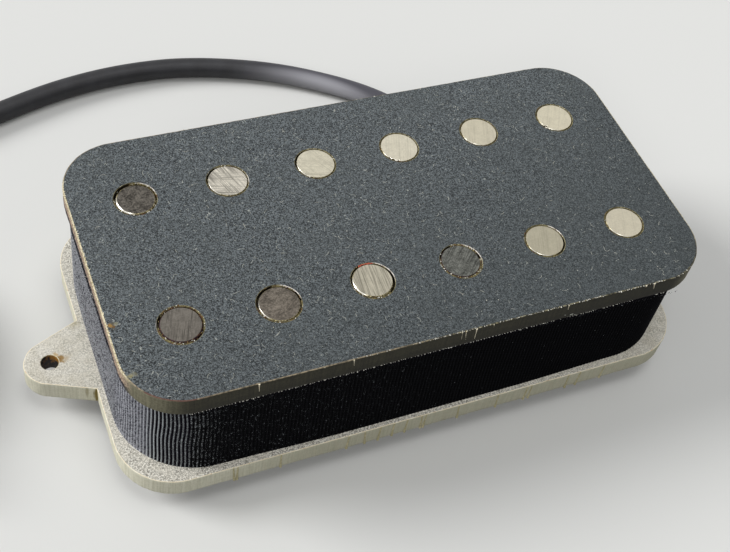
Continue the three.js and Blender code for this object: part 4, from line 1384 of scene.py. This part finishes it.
def make_arris_fuzz():
    """Torn fibre along the plates' arrises, as a saw and a file leave it, but not between base and ears."""
    top_outline = (2 * top_high.x, 2 * top_high.y, TOP_CORNER)
    base_outline = (BASE_LENGTH, 2 * base_high.y, BASE_CORNER)
    spots = []
    for outline, height, low_size, high_size, gap, frayed in (
        (top_outline, top_high.z - 0.01 * MM, 0.03, 0.09, 0.3, frayed_top),
        (top_outline, top_low.z, 0.05, 0.1, 0.32, frayed_under),
        (base_outline, base_high.z - 0.03 * MM, 0.025, 0.05, 0.7, lambda place, way: 0.9),
    ):
        for run, place, way in edge_walk(*outline, 0.5, 1.4, gap):
            size = dice.uniform(low_size, high_size)
            clustered = noise.noise(Vector((run / (1.6 * MM), height / MM, 5))) + frayed(place, way) - 1
            off = way * dice.uniform(-0.1, 0.0) * MM + UP * dice.uniform(-0.03, 0.03) * MM
            if clustered > dice.uniform(-0.35, 0.15):
                spots.append((place + off + UP * height, size))
    spots = [s for s in spots if abs(s[0].y) > 5.2 * MM or abs(s[0].x) < 34.5 * MM or s[0].z > 10 * MM]
    crumb_piece("arris_fuzz", spots, TORN, "fibre_pale")


def make_joint_dust():
    """Dust on the tape under the dark plate's front edge, wider towards the right, and flakes above it."""
    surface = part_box("woven_wrap")[0].y - 0.01 * MM
    spots = []
    for _ in range(JOINT_DUST_COUNT):
        x = dice.uniform(0, 30)
        drop = 0.12 + 0.55 * ease(x, 0, 22) * dice.uniform(0.55, 1.15)
        spots.append((Vector((x * MM, surface, top_low.z - drop * MM)), dice.uniform(0.02, 0.06)))
    crumb_piece("joint_dust", spots, GREY_DUST, "fibre_pale")
    flakes = [(Vector((x * MM, -top_high.y, height * MM)), size) for x, height, size in JOINT_FLAKES]
    crumb_piece("joint_flakes", flakes, LINT, "fibre_pale")


def make_end_chips():
    """Cream chips that make a jagged line where the dark plate's face meets its left end."""
    chips = []
    for _, place, way in edge_walk(2 * top_high.x, 2 * top_high.y, TOP_CORNER, 0.05, 0.2):
        if way.x < -0.96:
            size = dice.uniform(0.035, 0.085)
            inward = dice.random() ** 2 * 0.22 * MM
            chips.append((place - way * inward + UP * (top_high.z - 0.02 * MM), size))
    crumb_piece("left_end_chips", chips, SLIVER, "fibre_pale")


def make_rim_crumbs():
    """Wax and fibre crumbs in the gap round each rod, and a red smear behind one."""
    pale, amber = [], []
    for name in ROD_NAMES:
        radius, top, hole, hole_radius = rod_seat(name)
        count, pale_share, inner = RIM_CRUMBS.get(name, FEW_CRUMBS)
        for _ in range(count):
            angle = dice.uniform(0, FULL_TURN)
            sunk = sunken_share(name, math.degrees(angle)) > 0
            way = way_at(angle)
            low_end, high_end = top + way * (radius - inner * MM), hole + way * (hole_radius + 0.05 * MM)
            spot = low_end.lerp(high_end, dice.random()) - UP * dice.uniform(0.0, 0.06) * MM
            if not sunk or dice.random() < 0.15:
                (pale if dice.random() < pale_share else amber).append((spot, dice.uniform(0.03, 0.085)))
    crumb_piece("rim_crumbs_pale", pale, TORN, "fibre_pale")
    crumb_piece("rim_crumbs_amber", amber, AMBER_CRUMB, "glue")
    radius, top, _, _ = rod_seat("front_3")
    smear = []
    for step in range(SMEAR_COUNT):
        away = way_at(math.radians(70 + 2.4 * step)) * (radius + dice.uniform(-0.06, 0.06) * MM)
        smear.append((top - UP * 0.03 * MM + away, dice.uniform(0.06, 0.1)))
    crumb_piece("rim_smear_red", smear, RED_SMEAR, "glue")


def score(x, y, high_z, low_z, slant):
    """Line of a raised sliver down a cut edge."""
    steps = len(BASE_TAPER) - 1
    shares = [i / steps for i in range(steps + 1)]
    return [Vector((x + slant * (0.5 - s), y, high_z + (low_z - high_z) * s)) for s in shares]


def make_scores():
    head = base_high.z - SCORE_INSET
    lines = []
    for x in BASE_SCORES:
        foot = base_low.z - dice.uniform(0.0, 0.14) * MM
        lines.append(score(x * MM, -base_high.y, head, foot, dice.uniform(-0.25, 0.1) * MM))
    shares = [[width * MM for width in BASE_TAPER]] * len(lines)
    tube_piece("base_plate_scores", lines, 1.0, WORN, "fibre_pale", fineness=1, shares=shares)
    front, head = -top_high.y + 0.02 * MM, top_high.z - SCORE_INSET
    lines = [score((x + shift / 2) * MM, front, head, head - length * MM, -shift * MM)
             for x, shift, length, _ in TOP_SCORES]
    shares = [[max(share * width, 0.015) * MM for share in TOP_TAPER_SHARES] for *_, width in TOP_SCORES]
    tube_piece("top_plate_scores", lines, 1.0, SLIVER, "fibre_pale", fineness=1, shares=shares)


make_lint()
make_arris_fuzz()
make_joint_dust()
make_end_chips()
make_rim_crumbs()
make_scores()
under_start = Vector((lead_x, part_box("lead_under_base")[0].y, LEAD_LEVEL))
tube_piece(
    "lead_under_base_jacket", [[under_start, lead_exit]], JACKET_DIAMETER / 2, JACKET, "lead_jacket",
    "lead_under_base", fineness=JACKET_FINENESS,
)
for row in ("front", "back"):
    for node, material in ((f"winding_{row}", WINDING), (f"core_tape_{row}", PAPER)):
        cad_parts[node].data.materials.clear()
        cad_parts[node].data.materials.append(material)


# Stage, light and world

def seen_share(nodes):
    """One where the floor or the world is looked at, straight, in metal or through glass, else zero."""
    path = nodes.add("LightPath").outputs
    seen = nodes.larger(path["Is Camera Ray"], path["Is Glossy Ray"])
    return nodes.larger(seen, path["Is Transmission Ray"])


FLOOR_HALF_SIZE = 3.0
# Each lamp: its name, the way to it, its strength square on, and how wide it looks in degrees
LAMPS = [
    ("key_lamp", (-0.38, 0.2, 0.27), 2.2, 26), ("top_lamp", (0.08, -0.08, 0.99), 0.5, 24),
    ("front_lamp", (-0.5, -0.57, 0.63), 0.45, 20),
]


def make_stage():
    bm = bmesh.new()
    bmesh.ops.create_grid(bm, x_segments=1, y_segments=1, size=FLOOR_HALF_SIZE)
    mesh = bpy.data.meshes.new("floor")
    bm.to_mesh(mesh)
    bm.free()
    look = Finish("floor_paper", "e6e6e3", 0.9, Specular_IOR_Level=0.1)
    look.set(Base_Color=look.mix(seen_share(look), "8c8c8a", "e6e6e3"))
    mesh.materials.append(look.material)
    floor = bpy.data.objects.new("floor", mesh)
    bpy.context.scene.collection.objects.link(floor)


def make_light():
    """Far round softboxes and a soft pale world."""
    for name, source, strength, width in LAMPS:
        lamp = bpy.data.lights.new(name, "SUN")
        lamp.energy = strength
        lamp.angle = math.radians(width)
        box = bpy.data.objects.new(name, lamp)
        bpy.context.scene.collection.objects.link(box)
        box.rotation_mode = "QUATERNION"
        box.rotation_quaternion = (-Vector(source)).to_track_quat("-Z", "Y")
    world = bpy.data.worlds.new("studio")
    bpy.context.scene.world = world
    world.use_nodes = True
    world.node_tree.nodes.clear()
    nodes = Nodes(world.node_tree)
    soft = nodes.add("Background", {"Color": (0.97, 0.985, 1.0, 1), "Strength": 0.36})
    pale = nodes.add("Background", {"Color": (0.86, 0.86, 0.855, 1), "Strength": 1.0})
    both = nodes.add("MixShader", {0: seen_share(nodes), 1: soft.outputs[0], 2: pale.outputs[0]})
    nodes.add("OutputWorld", {"Surface": both.outputs[0]})


make_stage()
make_light()
bpy.context.scene.view_settings.view_transform = "Standard"
